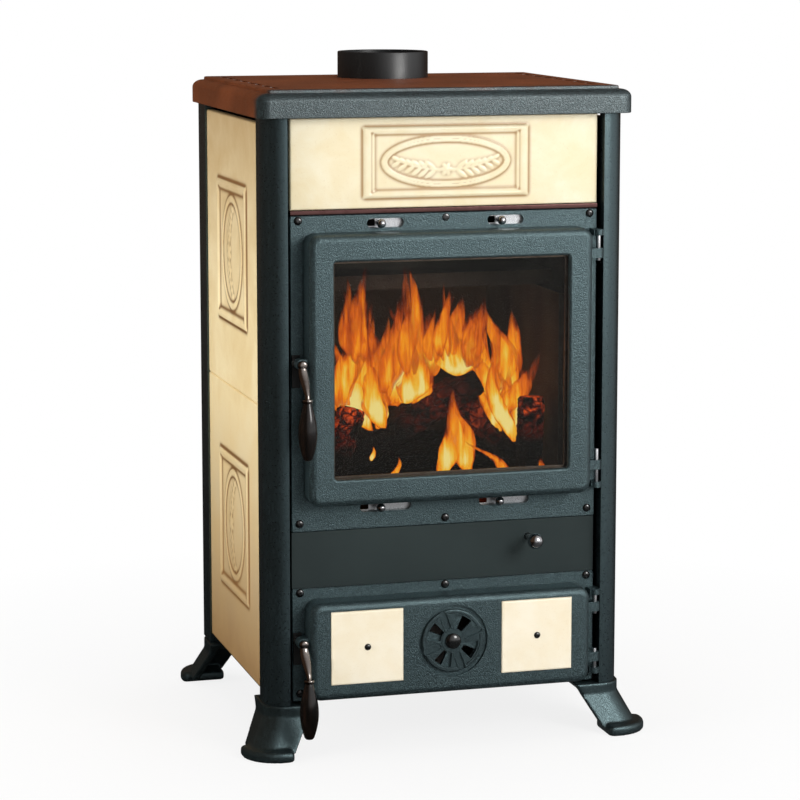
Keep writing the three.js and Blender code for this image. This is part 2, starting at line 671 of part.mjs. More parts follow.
/** Post section in the +X +Y quarter: two sides with a bend between them and a lip on each. */
function postOutline(face, side, radius, faceLip, steps) {
  const t = POST_THICKNESS;
  const [x, y] = [HALF_WIDTH, HALF_DEPTH];
  const outside = [
    ...(faceLip ? [new THREE.Vector2(x - face, y - faceLip)] : []),
    new THREE.Vector2(x - face, y),
    ...cornerArc(x - radius, y - radius, radius, steps),
    new THREE.Vector2(x, y - side),
    new THREE.Vector2(x - POST_LIP, y - side),
  ];
  const inside = [
    new THREE.Vector2(x - POST_LIP, y - side + t),
    new THREE.Vector2(x - t, y - side + t),
    ...cornerArc(x - radius, y - radius, radius - t, steps).reverse(),
    new THREE.Vector2(x - face + (faceLip ? t : 0), y - t),
    ...(faceLip ? [new THREE.Vector2(x - face + t, y - faceLip)] : []),
  ];
  return [...outside, ...inside];
}

function post(quarter) {
  const outline = quarter.sideY < 0
    ? postOutline(FRONT_POST_FACE, FRONT_POST_SIDE, FRONT_POST_RADIUS, FRONT_POST_LIP, 8)
    : postOutline(REAR_POST_FACE, REAR_POST_SIDE, REAR_POST_RADIUS, 0, 4);
  return prism(toQuarter(outline, quarter), POST_BOTTOM, BODY_TOP);
}

function structure() {
  const base = block(
    [-TILE_BACK + BASE_SIDE_GAP, SHELL_FRONT + BASE_FRONT_GAP, POST_BOTTOM],
    [TILE_BACK - BASE_SIDE_GAP, HALF_DEPTH - BASE_REAR_GAP, BASE_TOP],
  );
  return group(
    ...QUARTERS.map((quarter) => piece(`foot_${quarter.name}`, foot(quarter), CAST_PAINT)),
    ...QUARTERS.map((quarter) => piece(`post_${quarter.name}`, post(quarter), CAST_PAINT)),
    piece('base_plate', base, BLACK_STEEL),
  );
}

// ---------------------------------------------------------------- top plate and flue collar

function ventSlots(low, high) {
  const x = HALF_WIDTH - VENT_INSET;
  const slots = [];
  for (let index = 0; index < VENT_COUNT; index += 1) {
    const y = VENT_ROW_MIDDLE + (index - (VENT_COUNT - 1) / 2) * VENT_PITCH;
    [-x, x].forEach((slotX) => {
      const outline = roundedRect(VENT_WIDTH, VENT_LENGTH, VENT_WIDTH / 2 - 0.01, slotX, y, 3);
      slots.push(prism(outline, low, high));
    });
  }
  return slots;
}

function topPlate() {
  const width = BODY_WIDTH + 2 * PLATE_OVERHANG;
  const depth = BODY_DEPTH + 2 * PLATE_OVERHANG;
  const at = (inset, height) => {
    const radius = Math.max(PLATE_CORNER_RADIUS - inset, LIP_CORNER_RADIUS);
    return [roundedRect(width - 2 * inset, depth - 2 * inset, radius), height];
  };
  const sections = [at(0, PLATE_BOTTOM)];
  const shoulderLow = PLATE_BOTTOM + PLATE_FASCIA;
  for (let step = 0; step <= 4; step += 1) {
    const angle = step / 4 * Math.PI / 2;
    sections.push(at(
      PLATE_SHOULDER_DEPTH * (1 - Math.cos(angle)),
      shoulderLow + PLATE_SHOULDER_RISE * Math.sin(angle),
    ));
  }
  sections.push(at(LIP_INSET, shoulderLow + PLATE_SHOULDER_RISE));
  sections.push(at(LIP_INSET + LIP_EDGE, PLATE_TOP - LIP_EDGE));
  sections.push(at(LIP_INSET + 2 * LIP_EDGE, PLATE_TOP));
  const ceiling = PLATE_TOP - PLATE_TOP_THICKNESS;
  const hollow = prism(
    roundedRect(width - 2 * PLATE_WALL, depth - 2 * PLATE_WALL, PLATE_INNER_RADIUS),
    PLATE_BOTTOM - 1,
    ceiling,
  );
  const flueHole = bar(FLUE_DIAMETER / 2 + FIT_GAP, 0, FLUE_SETBACK, ceiling - 1, PLATE_TOP + 1, 40);
  return cut(loft(sections), hollow, flueHole, ...ventSlots(ceiling - 1, PLATE_TOP + 1));
}

function flueCollar() {
  const outer = FLUE_DIAMETER / 2;
  const inner = outer - FLUE_WALL;
  const low = SHELL_TOP + FIT_GAP;
  const flangeTop = low + FLUE_FLANGE_THICKNESS;
  const high = PLATE_TOP + FLUE_RISE;
  const profile = [
    [inner, low], [outer + FLUE_FLANGE, low], [outer + FLUE_FLANGE, flangeTop], [outer, flangeTop],
    [outer, high - FLUE_EDGE], [outer - FLUE_EDGE, high], [inner, high], [inner, low],
  ];
  const mesh = piece('flue_collar', turned(profile, 40), BLACK_STEEL);
  mesh.position.y = FLUE_SETBACK;
  return mesh;
}

// ---------------------------------------------------------------- side cladding and back

/** A tile with a raised rectangular frame and an oval ring, back at height 0. */
function framedTile(width, height, thickness, relief) {
  const slab = roundedSlab(width, height, thickness, SLAB_CORNER_RADIUS, SLAB_EDGE_RADIUS, 2);
  const raisedFrom = thickness - RELIEF_ROOT;
  const frameTop = thickness + RELIEF_PROUD;
  const insideWidth = relief.width - 2 * relief.sideBar;
  const insideHeight = relief.height - 2 * relief.levelBar;
  const frame = cut(
    prism(roundedRect(relief.width, relief.height, RELIEF_CORNER_RADIUS), raisedFrom, frameTop),
    prism(roundedRect(insideWidth, insideHeight, 1), 0, frameTop + 1),
  );
  const ovalTop = thickness + OVAL_PROUD;
  const oval = cut(
    prism(ellipse(relief.ovalWidth, relief.ovalHeight), raisedFrom, ovalTop),
    prism(ellipse(relief.ovalWidth - 2 * OVAL_BAND, relief.ovalHeight - 2 * OVAL_BAND), 0, ovalTop + 1),
  );
  return join(slab, frame, oval);
}

function sideCladding(name, turn) {
  const seam = (TILE_HIGH + TILE_LOW) / 2 + SIDE_SEAM_RISE;
  const tileWidth = TILE_REAR - TILE_FRONT;
  const relief = {
    width: SIDE_RELIEF_WIDTH,
    height: SIDE_RELIEF_HEIGHT,
    sideBar: SIDE_RELIEF_SIDE_BAR,
    levelBar: SIDE_RELIEF_LEVEL_BAR,
    ovalWidth: SIDE_OVAL_WIDTH,
    ovalHeight: SIDE_OVAL_HEIGHT,
  };
  // Seen from outside, the stove's back is on the left of its left side and on the right of its right.
  const middle = (TILE_REAR + TILE_FRONT) / 2 * Math.sign(turn);
  const rows = [
    { row: 'lower', low: TILE_LOW, high: seam - JOINT_GAP / 2 },
    { row: 'upper', low: seam + JOINT_GAP / 2, high: TILE_HIGH },
  ];
  const tiles = rows.map(({ row, low, high }) => {
    const body = framedTile(tileWidth, high - low, SIDE_TILE_THICKNESS, relief);
    const tile = piece(`side_tile_${name}_${row}`, body, OCHRE_GLAZE);
    tile.position.set(middle, (low + high) / 2, -SIDE_TILE_THICKNESS);
    return tile;
  });
  const reach = HALF_DEPTH - CARRIER_END_GAP;
  const sheetFront = -SIDE_TILE_THICKNESS - CARRIER_TILE_GAP;
  const lipTop = TILE_LOW - FIT_GAP;
  const lipLow = lipTop - CARRIER_LIP_THICKNESS;
  const lipReach = tileWidth / 2 - 1;
  const carrier = join(
    block([-reach, lipLow, sheetFront - CARRIER_THICKNESS], [reach, TILE_HIGH, sheetFront]),
    block([middle - lipReach, lipLow, sheetFront - 1], [middle + lipReach, lipTop, -CARRIER_LIP_SETBACK]),
  );
  return facade(turn, TILE_FACE, ...tiles, piece(`tile_carrier_${name}`, carrier, BLACK_STEEL));
}

function backPanel() {
  const front = HALF_DEPTH - POST_THICKNESS - FIT_GAP - BACK_PANEL_THICKNESS;
  const reach = TILE_BACK - BACK_PANEL_SIDE_GAP;
  const low = BASE_TOP + FIT_GAP;
  const sheet = block([-reach, front, low], [reach, front + BACK_PANEL_THICKNESS, BODY_TOP - 1]);
  const slots = [];
  for (let index = 0; index < BACK_SLOT_COUNT; index += 1) {
    const rise = BACK_SLOT_START + index * BACK_SLOT_PITCH;
    [low + rise, BODY_TOP - rise].forEach((z) => {
      slots.push(block(
        [-BACK_SLOT_LENGTH / 2, front - 1, z - BACK_SLOT_HEIGHT / 2],
        [BACK_SLOT_LENGTH / 2, front + BACK_PANEL_THICKNESS + 1, z + BACK_SLOT_HEIGHT / 2],
      ));
    });
  }
  return piece('back_panel', cut(sheet, ...slots), BLACK_STEEL);
}

// ---------------------------------------------------------------- fixed front panels

/** A hinge ear on a frame, with the hole for the pin's end. */
function hingeEar(middle) {
  const low = middle - EAR_HEIGHT / 2;
  const high = middle + EAR_HEIGHT / 2;
  const ear = block(
    [HINGE_X - EAR_INWARD, low, FRAME_BACK + 1],
    [HINGE_X + KNUCKLE_RADIUS, high, PIN_HEIGHT_OFF_FRAME + EAR_SHOULDER],
  );
  const tip = solid(new THREE.CylinderGeometry(KNUCKLE_RADIUS, KNUCKLE_RADIUS, EAR_HEIGHT, 20)
    .translate(HINGE_X, middle, PIN_HEIGHT_OFF_FRAME));
  return join(ear, tip);
}

function pinBar(radius, low, high) {
  return solid(new THREE.CylinderGeometry(radius, radius, high - low, 16)
    .translate(HINGE_X, (low + high) / 2, PIN_HEIGHT_OFF_FRAME));
}

/** Heights of a door's two knuckles and of the frame ears that hold their pins. */
function hingeHeights(doorBottom, doorHeight, fromEnd, earReach) {
  const lower = doorBottom + fromEnd;
  const upper = doorBottom + doorHeight - fromEnd;
  return { lower, upper, lowerEar: lower - earReach, upperEar: upper + earReach };
}

const FIRE_HINGE = hingeHeights(FIRE_DOOR_BOTTOM, FIRE_DOOR_HEIGHT, FIRE_HINGE_FROM_END, FIRE_EAR_REACH);
const ASH_HINGE = hingeHeights(ASH_DOOR_BOTTOM, ASH_DOOR_HEIGHT, ASH_HINGE_FROM_END, ASH_EAR_REACH);

/** A cast front frame: a plate with the door opening and the hinge ears. */
function frontFrame(bottom, top, doorBottom, doorHeight, openingMargin, hinge) {
  const middle = (bottom + top) / 2;
  const plate = roundedSlab(PANEL_WIDTH, top - bottom, FRAME_THICKNESS, FRAME_CORNER_RADIUS, FRAME_EDGE, 1)
    .translate([0, middle, FRAME_BACK]);
  const opening = roundedRect(
    DOOR_WIDTH - 2 * openingMargin,
    doorHeight - 2 * openingMargin,
    OPENING_RADIUS,
    0,
    doorBottom + doorHeight / 2,
  );
  const pinHoles = [hinge.lowerEar, hinge.upperEar]
    .map((ear) => pinBar(PIN_RADIUS + FIT_GAP, ear - EAR_HEIGHT, ear + EAR_HEIGHT));
  return cut(
    join(plate, hingeEar(hinge.lowerEar), hingeEar(hinge.upperEar)),
    prism(opening, FRAME_BACK - 1, 1),
    ...pinHoles,
  );
}

function airSlot(length, height, side) {
  const outline = roundedRect(length, SLOT_HEIGHT, SLOT_HEIGHT / 2 - 0.01, side * SLOT_OFFSET, height, 4);
  return prism(outline, FRAME_BACK - 1, 1);
}

function upperFrontFrame() {
  const frame = frontFrame(
    UPPER_FRAME_BOTTOM, UPPER_FRAME_TOP, FIRE_DOOR_BOTTOM, FIRE_DOOR_HEIGHT, FIRE_OPENING_MARGIN, FIRE_HINGE,
  );
  const slots = [-1, 1].flatMap((side) => [
    airSlot(UPPER_SLOT_LENGTH, UPPER_SLOT_Z, side),
    airSlot(LOWER_SLOT_LENGTH, LOWER_SLOT_Z, side),
  ]);
  return piece('upper_front_frame', cut(frame, ...slots), CAST_PAINT);
}

function lowerFrontFrame() {
  const frame = frontFrame(
    LOWER_FRAME_BOTTOM, LOWER_FRAME_TOP, ASH_DOOR_BOTTOM, ASH_DOOR_HEIGHT, ASH_OPENING_MARGIN, ASH_HINGE,
  );
  return piece('lower_front_frame', frame, CAST_PAINT);
}

function hingePins() {
  const long = FIRE_EAR_REACH + EAR_HEIGHT / 2 - 1;
  const short = ASH_EAR_REACH + EAR_HEIGHT / 2 - 1;
  const pins = [
    ['fire_hinge_pin_upper', FIRE_HINGE.upper - PIN_TAIL, FIRE_HINGE.upper + long],
    ['fire_hinge_pin_lower', FIRE_HINGE.lower - long, FIRE_HINGE.lower + 2 * PIN_TAIL],
    ['ash_hinge_pin_upper', ASH_HINGE.upper - PIN_TAIL, ASH_HINGE.upper + short],
    ['ash_hinge_pin_lower', ASH_HINGE.lower - short, ASH_HINGE.lower + PIN_TAIL],
  ];
  return pins.map(([name, low, high]) => piece(name, pinBar(PIN_RADIUS, low, high), BRIGHT_STEEL));
}

function middlePanel() {
  const half = PANEL_WIDTH / 2 - JOINT_GAP;
  const front = -MIDDLE_PANEL_RECESS;
  const sheet = block([-half, MIDDLE_BOTTOM, front - MIDDLE_PANEL_THICKNESS], [half, MIDDLE_TOP, front]);
  const holeRadius = SHAKER_ROD_RADIUS + SHAKER_HOLE_PLAY;
  const hole = bar(holeRadius, SHAKER_X, SHAKER_Z, front - MIDDLE_PANEL_THICKNESS - 1, 1);
  return piece('middle_panel', cut(sheet, hole), SHEET_PAINT);
}

function ceramicSlab() {
  const relief = {
    width: FRONT_RELIEF_WIDTH,
    height: FRONT_RELIEF_HEIGHT,
    sideBar: FRONT_RELIEF_SIDE_BAR,
    levelBar: FRONT_RELIEF_LEVEL_BAR,
    ovalWidth: FRONT_OVAL_WIDTH,
    ovalHeight: FRONT_OVAL_HEIGHT,
  };
  const body = framedTile(PANEL_WIDTH - 2 * JOINT_GAP, CERAMIC_HEIGHT, FRAME_THICKNESS, relief);
  const slab = piece('front_ceramic', body, IVORY_GLAZE);
  slab.position.set(0, CERAMIC_BOTTOM + CERAMIC_HEIGHT / 2, FRAME_BACK);
  return slab;
}

function trimStrip() {
  const half = PANEL_WIDTH / 2;
  const strip = block([-half, TRIM_BOTTOM, FRAME_BACK + 1], [half, TRIM_BOTTOM + TRIM_HEIGHT, TRIM_PROUD]);
  return piece('ceramic_trim', strip, BRIGHT_STEEL);
}

/** A flat steel catch on a frame, behind the latch. */
function catchPlate(name, pivotHeight) {
  const x = -PANEL_WIDTH / 2 + CATCH_SIDE_GAP;
  const top = pivotHeight + CATCH_ABOVE_PIVOT;
  const plate = block([x, top - CATCH_HEIGHT, FIT_GAP], [x + CATCH_WIDTH, top, CATCH_THICKNESS]);
  const rampX = x + RAMP_FROM_EDGE;
  const rampTop = CATCH_THICKNESS + RAMP_RISE;
  const ramp = loft([
    [roundedRect(RAMP_WIDTH, RAMP_LENGTH, 1, rampX, pivotHeight, 1), CATCH_THICKNESS - 1],
    [roundedRect(RAMP_WIDTH - 1, RAMP_LENGTH / 2, 1, rampX, pivotHeight - RAMP_LEAN, 1), rampTop],
  ]);
  return piece(name, join(plate, ramp), BLACK_STEEL);
}

// ---------------------------------------------------------------- air slides

function airSlide(name, height, slotLength, knobShift) {
  const back = FRAME_BACK - FIT_GAP - SLIDE_THICKNESS;
  const front = FRAME_BACK - FIT_GAP;
  const half = SLIDE_LENGTH / 2;
  const cuts = [];
  const knobs = [-1, 1].map((side) => {
    const knobX = side * SLOT_OFFSET + knobShift;
    const slotStart = side * SLOT_OFFSET - slotLength / 2;
    const stemSide = knobX - SLIDE_STEM_RADIUS - SLIDE_WINDOW_WEB;
    const windowEnd = Math.min(slotStart + SLIDE_WINDOW_LENGTH, stemSide);
    cuts.push(bar(SLIDE_STEM_RADIUS + FIT_GAP, knobX, height, back - 1, front + 1));
    cuts.push(block(
      [windowEnd - SLIDE_WINDOW_LENGTH, height - SLIDE_WINDOW_HEIGHT / 2, back - 1],
      [windowEnd, height + SLIDE_WINDOW_HEIGHT / 2, front + 1],
    ));
    const stemBack = back - SLIDE_STEM_TAIL;
    const profile = knobProfile(SLIDE_KNOB_RADIUS, SLIDE_STEM_RADIUS, stemBack, SLIDE_KNOB_REACH);
    const knob = piece(`${name}_knob_${side < 0 ? 'left' : 'right'}`, turned(profile, 16), CHROME);
    knob.position.set(knobX, height, 0);
    return knob;
  });
  const plate = block([-half, height - SLIDE_HEIGHT / 2, back], [half, height + SLIDE_HEIGHT / 2, front]);
  return group(piece(`${name}_plate`, cut(plate, ...cuts), BRIGHT_STEEL), ...knobs);
}

// ---------------------------------------------------------------- doors

/** A hollow-backed door casting with hinge knuckles and a latch lug, its back at Z 0, bottom at Y 0. */
function doorCasting(height, face, hingeFromEnd, pivotHeight) {
  const cavityWidth = DOOR_WIDTH - 2 * DOOR_RIM;
  const cavityHeight = height - 2 * DOOR_RIM;
  const outside = roundedSlab(DOOR_WIDTH, height, DOOR_THICKNESS, DOOR_CORNER_RADIUS, DOOR_EDGE_RADIUS)
    .translate([0, height / 2, 0]);
  const cavity = prism(
    roundedRect(cavityWidth, cavityHeight, DOOR_INNER_RADIUS, 0, height / 2),
    -1,
    DOOR_THICKNESS - face,
  );
  const groove = rectRing(
    DOOR_WIDTH - 2 * ROPE_INSET,
    height - 2 * ROPE_INSET,
    ROPE_GROOVE,
    ROPE_RADIUS,
    0,
    height / 2,
    -1,
    ROPE_DEPTH,
  );
  const hingeMiddles = [hingeFromEnd, height - hingeFromEnd];
  const knuckles = hingeMiddles.map((middle) => knuckle(middle));
  const pinHoles = hingeMiddles.map((middle) => knuckleBar(PIN_RADIUS + FIT_GAP, middle, 2));
  const lug = join(
    bar(LATCH_LUG_RADIUS, PIVOT_X, pivotHeight, LATCH_LUG_BACK, LATCH_LUG_FRONT),
    block(
      [PIVOT_X, pivotHeight - LATCH_LUG_RADIUS, LATCH_LUG_BACK],
      [-DOOR_WIDTH / 2 + ROOT_IN_DOOR, pivotHeight + LATCH_LUG_RADIUS, LATCH_LUG_FRONT],
    ),
  );
  const pivotHole = bar(
    PIVOT_RADIUS + FIT_GAP, PIVOT_X, pivotHeight, LATCH_LUG_BACK - 1, LATCH_LUG_FRONT + 1,
  );
  return cut(join(outside, ...knuckles, lug), cavity, groove, ...pinHoles, pivotHole);
}

/** A bar along a door's height, on its hinge axis, in the door's own frame. */
function knuckleBar(radius, middle, extra) {
  return solid(new THREE.CylinderGeometry(radius, radius, KNUCKLE_HEIGHT + extra, 20)
    .translate(HINGE_X, middle, PIN_IN_DOOR));
}

function knuckle(middle) {
  const link = block(
    [DOOR_WIDTH / 2 - ROOT_IN_DOOR, middle - KNUCKLE_HEIGHT / 2, PIN_IN_DOOR - KNUCKLE_RADIUS],
    [HINGE_X, middle + KNUCKLE_HEIGHT / 2, PIN_IN_DOOR + KNUCKLE_RADIUS],
  );
  return join(link, knuckleBar(KNUCKLE_RADIUS, middle, 0));
}

function ropeGasket(name, height) {
  const rope = rectRing(
    DOOR_WIDTH - 2 * (ROPE_INSET + FIT_GAP),
    height - 2 * (ROPE_INSET + FIT_GAP),
    ROPE_GROOVE - 2 * FIT_GAP,
    ROPE_RADIUS - FIT_GAP,
    0,
    height / 2,
    FIT_GAP - DOOR_SEAT_GAP,
    ROPE_DEPTH - FIT_GAP,
  );
  return piece(name, rope, ROPE);
}

/** Handle in its own frame: the pivot axis is Z, Y is up and the grip hangs down. */
function latchHandle(name) {
  const hubBack = LATCH_LUG_FRONT + FIT_GAP;
  const hubMiddle = hubBack + HUB_THICKNESS / 2;
  const shaftBack = LATCH_LUG_BACK - FIT_GAP - NOSE_THICKNESS;
  const shaft = bar(PIVOT_RADIUS, 0, 0, shaftBack, hubBack + 1, 16);
  const hub = bar(HUB_RADIUS, 0, 0, hubBack, hubBack + HUB_THICKNESS, 20);
  const nose = block(
    [-NOSE_LENGTH, -NOSE_WIDTH / 2, shaftBack],
    [0, NOSE_WIDTH / 2, shaftBack + NOSE_THICKNESS],
  );
  const ferruleZ = hubMiddle + LEVER_REACH;
  const share = (t, from, to) => from + (to - from) * t;
  const sections = LEVER_WIDTHS.map(({ t, width }) => {
    const lean = t * t * (3 - 2 * t);
    const level = share(t, 0, -LEVER_DROP);
    return [ellipse(width, LEVER_THICKNESS, 0, -share(lean, hubMiddle, ferruleZ), 14), level];
  });
  // The lever's sections are level ones, so it is drawn standing and then laid into the handle's frame.
  const lever = loft(sections.reverse()).rotate([-90, 0, 0]);
  const ferrule = solid(new THREE.CylinderGeometry(FERRULE_RADIUS, FERRULE_RADIUS, FERRULE_HEIGHT, 20)
    .translate(0, -LEVER_DROP - FERRULE_HEIGHT / 2 + 1, ferruleZ));
  const gripTop = -LEVER_DROP - FERRULE_HEIGHT + 1 - FIT_GAP;
  const profile = [[0, 0], [GRIP_NECK_RADIUS, 0]];
  const steps = 9;
  for (let step = 1; step <= steps; step += 1) {
    const t = step / steps;
    const swell = Math.sin(Math.PI * t ** 1.12) ** 0.85;
    const core = share(t, GRIP_NECK_RADIUS, GRIP_END_RADIUS);
    profile.push([core + (GRIP_RADIUS - core) * Math.max(swell, 0), -t * GRIP_LENGTH]);
  }
  profile.push([0, -GRIP_LENGTH]);
  const grip = piece(`${name}_handle_grip`, turned(profile, 20).rotate([-90, 0, 0]), BLACK_GRIP);
  grip.position.set(0, gripTop, ferruleZ);
  return group(piece(`${name}_handle_lever`, join(shaft, hub, nose, lever, ferrule), CHROME), grip);
}

function fireDoor() {
  const casting = doorCasting(FIRE_DOOR_HEIGHT, FIRE_DOOR_FACE, FIRE_HINGE_FROM_END, FIRE_PIVOT_HEIGHT);
  const windowWidth = DOOR_WIDTH - 2 * WINDOW_SIDE_BAR;
  const windowHeight = FIRE_DOOR_HEIGHT - WINDOW_LOWER_BAR - WINDOW_UPPER_BAR;
  const windowMiddle = WINDOW_LOWER_BAR + windowHeight / 2;
  const windowEdge = (outset) => roundedRect(
    windowWidth + 2 * outset, windowHeight + 2 * outset, WINDOW_RADIUS + outset, 0, windowMiddle,
  );
  const opening = loft([
    [windowEdge(0), DOOR_THICKNESS - FIRE_DOOR_FACE - 1],
    [windowEdge(0), DOOR_THICKNESS - WINDOW_CHAMFER + 1],
    [windowEdge(WINDOW_CHAMFER), DOOR_THICKNESS + 1],
  ]);
  const glassFront = DOOR_THICKNESS - FIRE_DOOR_FACE - FIT_GAP;
  const glassBack = glassFront - GLASS_THICKNESS;
  const pane = prism(
    roundedRect(windowWidth + 2 * GLASS_LAP, windowHeight + 2 * GLASS_LAP, GLASS_RADIUS, 0, windowMiddle),
    glassBack,
    glassFront,
  );
  const retainerFront = glassBack - FIT_GAP;
  const retainer = rectRing(
    windowWidth + 2 * RETAINER_LAP,
    windowHeight + 2 * RETAINER_LAP,
    RETAINER_LAP + RETAINER_PROUD,
    GLASS_RADIUS,
    0,
    windowMiddle,
    retainerFront - RETAINER_THICKNESS,
    retainerFront,
  );
  const handle = latchHandle('fire');
  handle.position.set(PIVOT_X, FIRE_PIVOT_HEIGHT, 0);
  const door = group(
    piece('fire_door', cut(casting, opening), CAST_PAINT),
    piece('door_glass', pane, GLASS),
    piece('glass_retainer', retainer, BRIGHT_STEEL),
    ropeGasket('fire_door_gasket', FIRE_DOOR_HEIGHT),
    handle,
  );
  door.position.set(0, FIRE_DOOR_BOTTOM, DOOR_SEAT_GAP);
  return door;
}

/** The windows of the air register, through a plate round a middle point. */
function registerWindows(from, to, x, y) {
  return Array.from({ length: REGISTER_WINDOWS }, (_, index) => {
    const middle = REGISTER_WINDOW_START + index * 360 / REGISTER_WINDOWS;
    const outline = wedge(REGISTER_INNER_RADIUS, REGISTER_OUTER_RADIUS, middle, REGISTER_WINDOW_ANGLE, x, y);
    return prism(outline, from, to);
  });
}

/** The turning disc: windows like the door's, and a blind groove for a finger between each two. */
function registerDisc() {
  const radius = REGISTER_DISC_DIAMETER / 2;
  const grooves = Array.from({ length: REGISTER_WINDOWS }, (_, index) => {
    const groove = block(
      [REGISTER_INNER_RADIUS, -FINGER_GROOVE_WIDTH / 2, REGISTER_DISC_THICKNESS - FINGER_GROOVE_DEPTH],
      [radius + 1, FINGER_GROOVE_WIDTH / 2, REGISTER_DISC_THICKNESS + 1],
    );
    return groove.rotate([0, 0, index * 360 / REGISTER_WINDOWS]);
  });
  const rim = turned([
    [0, 0], [radius, 0], [radius, REGISTER_DISC_THICKNESS - 1], [radius - 1, REGISTER_DISC_THICKNESS],
    [0, REGISTER_DISC_THICKNESS],
  ], 40);
  const stemHole = bar(HUB_STEM_RADIUS + FIT_GAP, 0, 0, -1, REGISTER_DISC_THICKNESS + 1, 20);
  return cut(rim, ...registerWindows(-1, REGISTER_DISC_THICKNESS + 1, 0, 0), ...grooves, stemHole);
}

function ashDoor() {
  const casting = doorCasting(ASH_DOOR_HEIGHT, ASH_DOOR_FACE, ASH_HINGE_FROM_END, ASH_PIVOT_HEIGHT);
  const faceBack = DOOR_THICKNESS - ASH_DOOR_FACE;
  const pocketFloor = DOOR_THICKNESS - TILE_POCKET_DEPTH;
  const registerY = TILE_RISE;
  const pocketSize = TILE_SIZE + 2 * TILE_PLAY;
  const pockets = [-1, 1].map((side) => prism(
    roundedRect(pocketSize, pocketSize, TILE_POCKET_RADIUS, side * TILE_OFFSET, TILE_RISE, 2),
    pocketFloor,
    DOOR_THICKNESS + 1,
  ));
  const recessFloor = DOOR_THICKNESS - REGISTER_DEPTH;
  const face = cut(
    casting,
    ...pockets,
    bar(REGISTER_DIAMETER / 2, 0, registerY, recessFloor, DOOR_THICKNESS + 1, 40),
    ...registerWindows(faceBack - 1, DOOR_THICKNESS, 0, registerY),
    bar(HUB_STEM_RADIUS + FIT_GAP, 0, registerY, faceBack - 1, DOOR_THICKNESS),
  );

  const tiles = [-1, 1].map((side) => {
    const body = cut(
      roundedSlab(TILE_SIZE, TILE_SIZE, TILE_THICKNESS, TILE_CORNER_RADIUS, SLAB_EDGE_RADIUS, 2),
      bar(TILE_HOLE_RADIUS, 0, 0, -1, TILE_THICKNESS + 1, 16),
    );
    const tile = piece(`ash_door_tile_${side < 0 ? 'left' : 'right'}`, body, IVORY_GLAZE);
    tile.position.set(side * TILE_OFFSET, TILE_RISE, pocketFloor + FIT_GAP);
    return tile;
  });

  const discBack = recessFloor + FIT_GAP;
  const discMesh = piece('ash_register_disc', registerDisc(), CAST_PAINT);
  discMesh.position.set(0, registerY, discBack);
  discMesh.rotation.z = THREE.MathUtils.degToRad(REGISTER_REST_TURN);

  const capBack = discBack + REGISTER_DISC_THICKNESS + FIT_GAP;
  const stemBack = faceBack - HUB_STEM_TAIL;
  const dome = [0, 0.4, 0.72, 0.92, 1].map((rise) => [
    HUB_CAP_RADIUS * Math.sqrt(1 - rise * rise),
    capBack + HUB_CAP_HEIGHT * rise,
  ]);
  const hub = piece('ash_register_hub', turned([
    [0, stemBack], [HUB_STEM_RADIUS, stemBack], [HUB_STEM_RADIUS, capBack], ...dome,
  ], 24), BLACK_STEEL);
  hub.position.set(0, registerY, 0);

  const handle = latchHandle('ash');
  handle.position.set(PIVOT_X, ASH_PIVOT_HEIGHT, 0);
  const door = group(
    piece('ash_door', face, CAST_PAINT),
    ...tiles,
    discMesh,
    hub,
    ropeGasket('ash_door_gasket', ASH_DOOR_HEIGHT),
    handle,
  );
  door.position.set(0, ASH_DOOR_BOTTOM, DOOR_SEAT_GAP);
  return door;
}

// ---------------------------------------------------------------- firebox

function fireboxShell() {
  const half = SHELL_WIDTH / 2;
  const openingTop = UPPER_FRAME_TOP - FIRE_MOUTH_DROP;
  const body = block([-half, SHELL_FRONT, SHELL_BOTTOM], [half, SHELL_BACK, SHELL_TOP]);
  const fireChamber = block(
    [-SHELL_INNER, SHELL_FRONT + SHELL_WALL, FIRE_FLOOR + SHELL_WALL],
    [SHELL_INNER, SHELL_BACK - SHELL_WALL, SHELL_TOP - SHELL_WALL],
  );
  const fireMouth = block(
    [-SHELL_INNER, SHELL_FRONT - 1, FIRE_FLOOR + SHELL_WALL],
    [SHELL_INNER, SHELL_FRONT + SHELL_WALL + 1, openingTop],
  );
  const ashChamber = block(
    [-SHELL_INNER, SHELL_FRONT - 1, SHELL_BOTTOM + SHELL_WALL],
    [SHELL_INNER, SHELL_BACK - SHELL_WALL, FIRE_FLOOR],
  );
  const ashHole = block(
    [-ASH_HOLE_WIDTH / 2, -ASH_HOLE_DEPTH / 2, FIRE_FLOOR - 1],
    [ASH_HOLE_WIDTH / 2, ASH_HOLE_DEPTH / 2, FIRE_FLOOR + SHELL_WALL + 1],
  );
  const smokeHole = bar(SMOKE_HOLE_RADIUS, 0, FLUE_SETBACK, SHELL_TOP - SHELL_WALL - 1, SHELL_TOP + 1, 32);
  const shell = cut(body, fireChamber, fireMouth, ashChamber, ashHole, smokeHole);
  return piece('firebox_shell', shell, BLACK_STEEL);
}

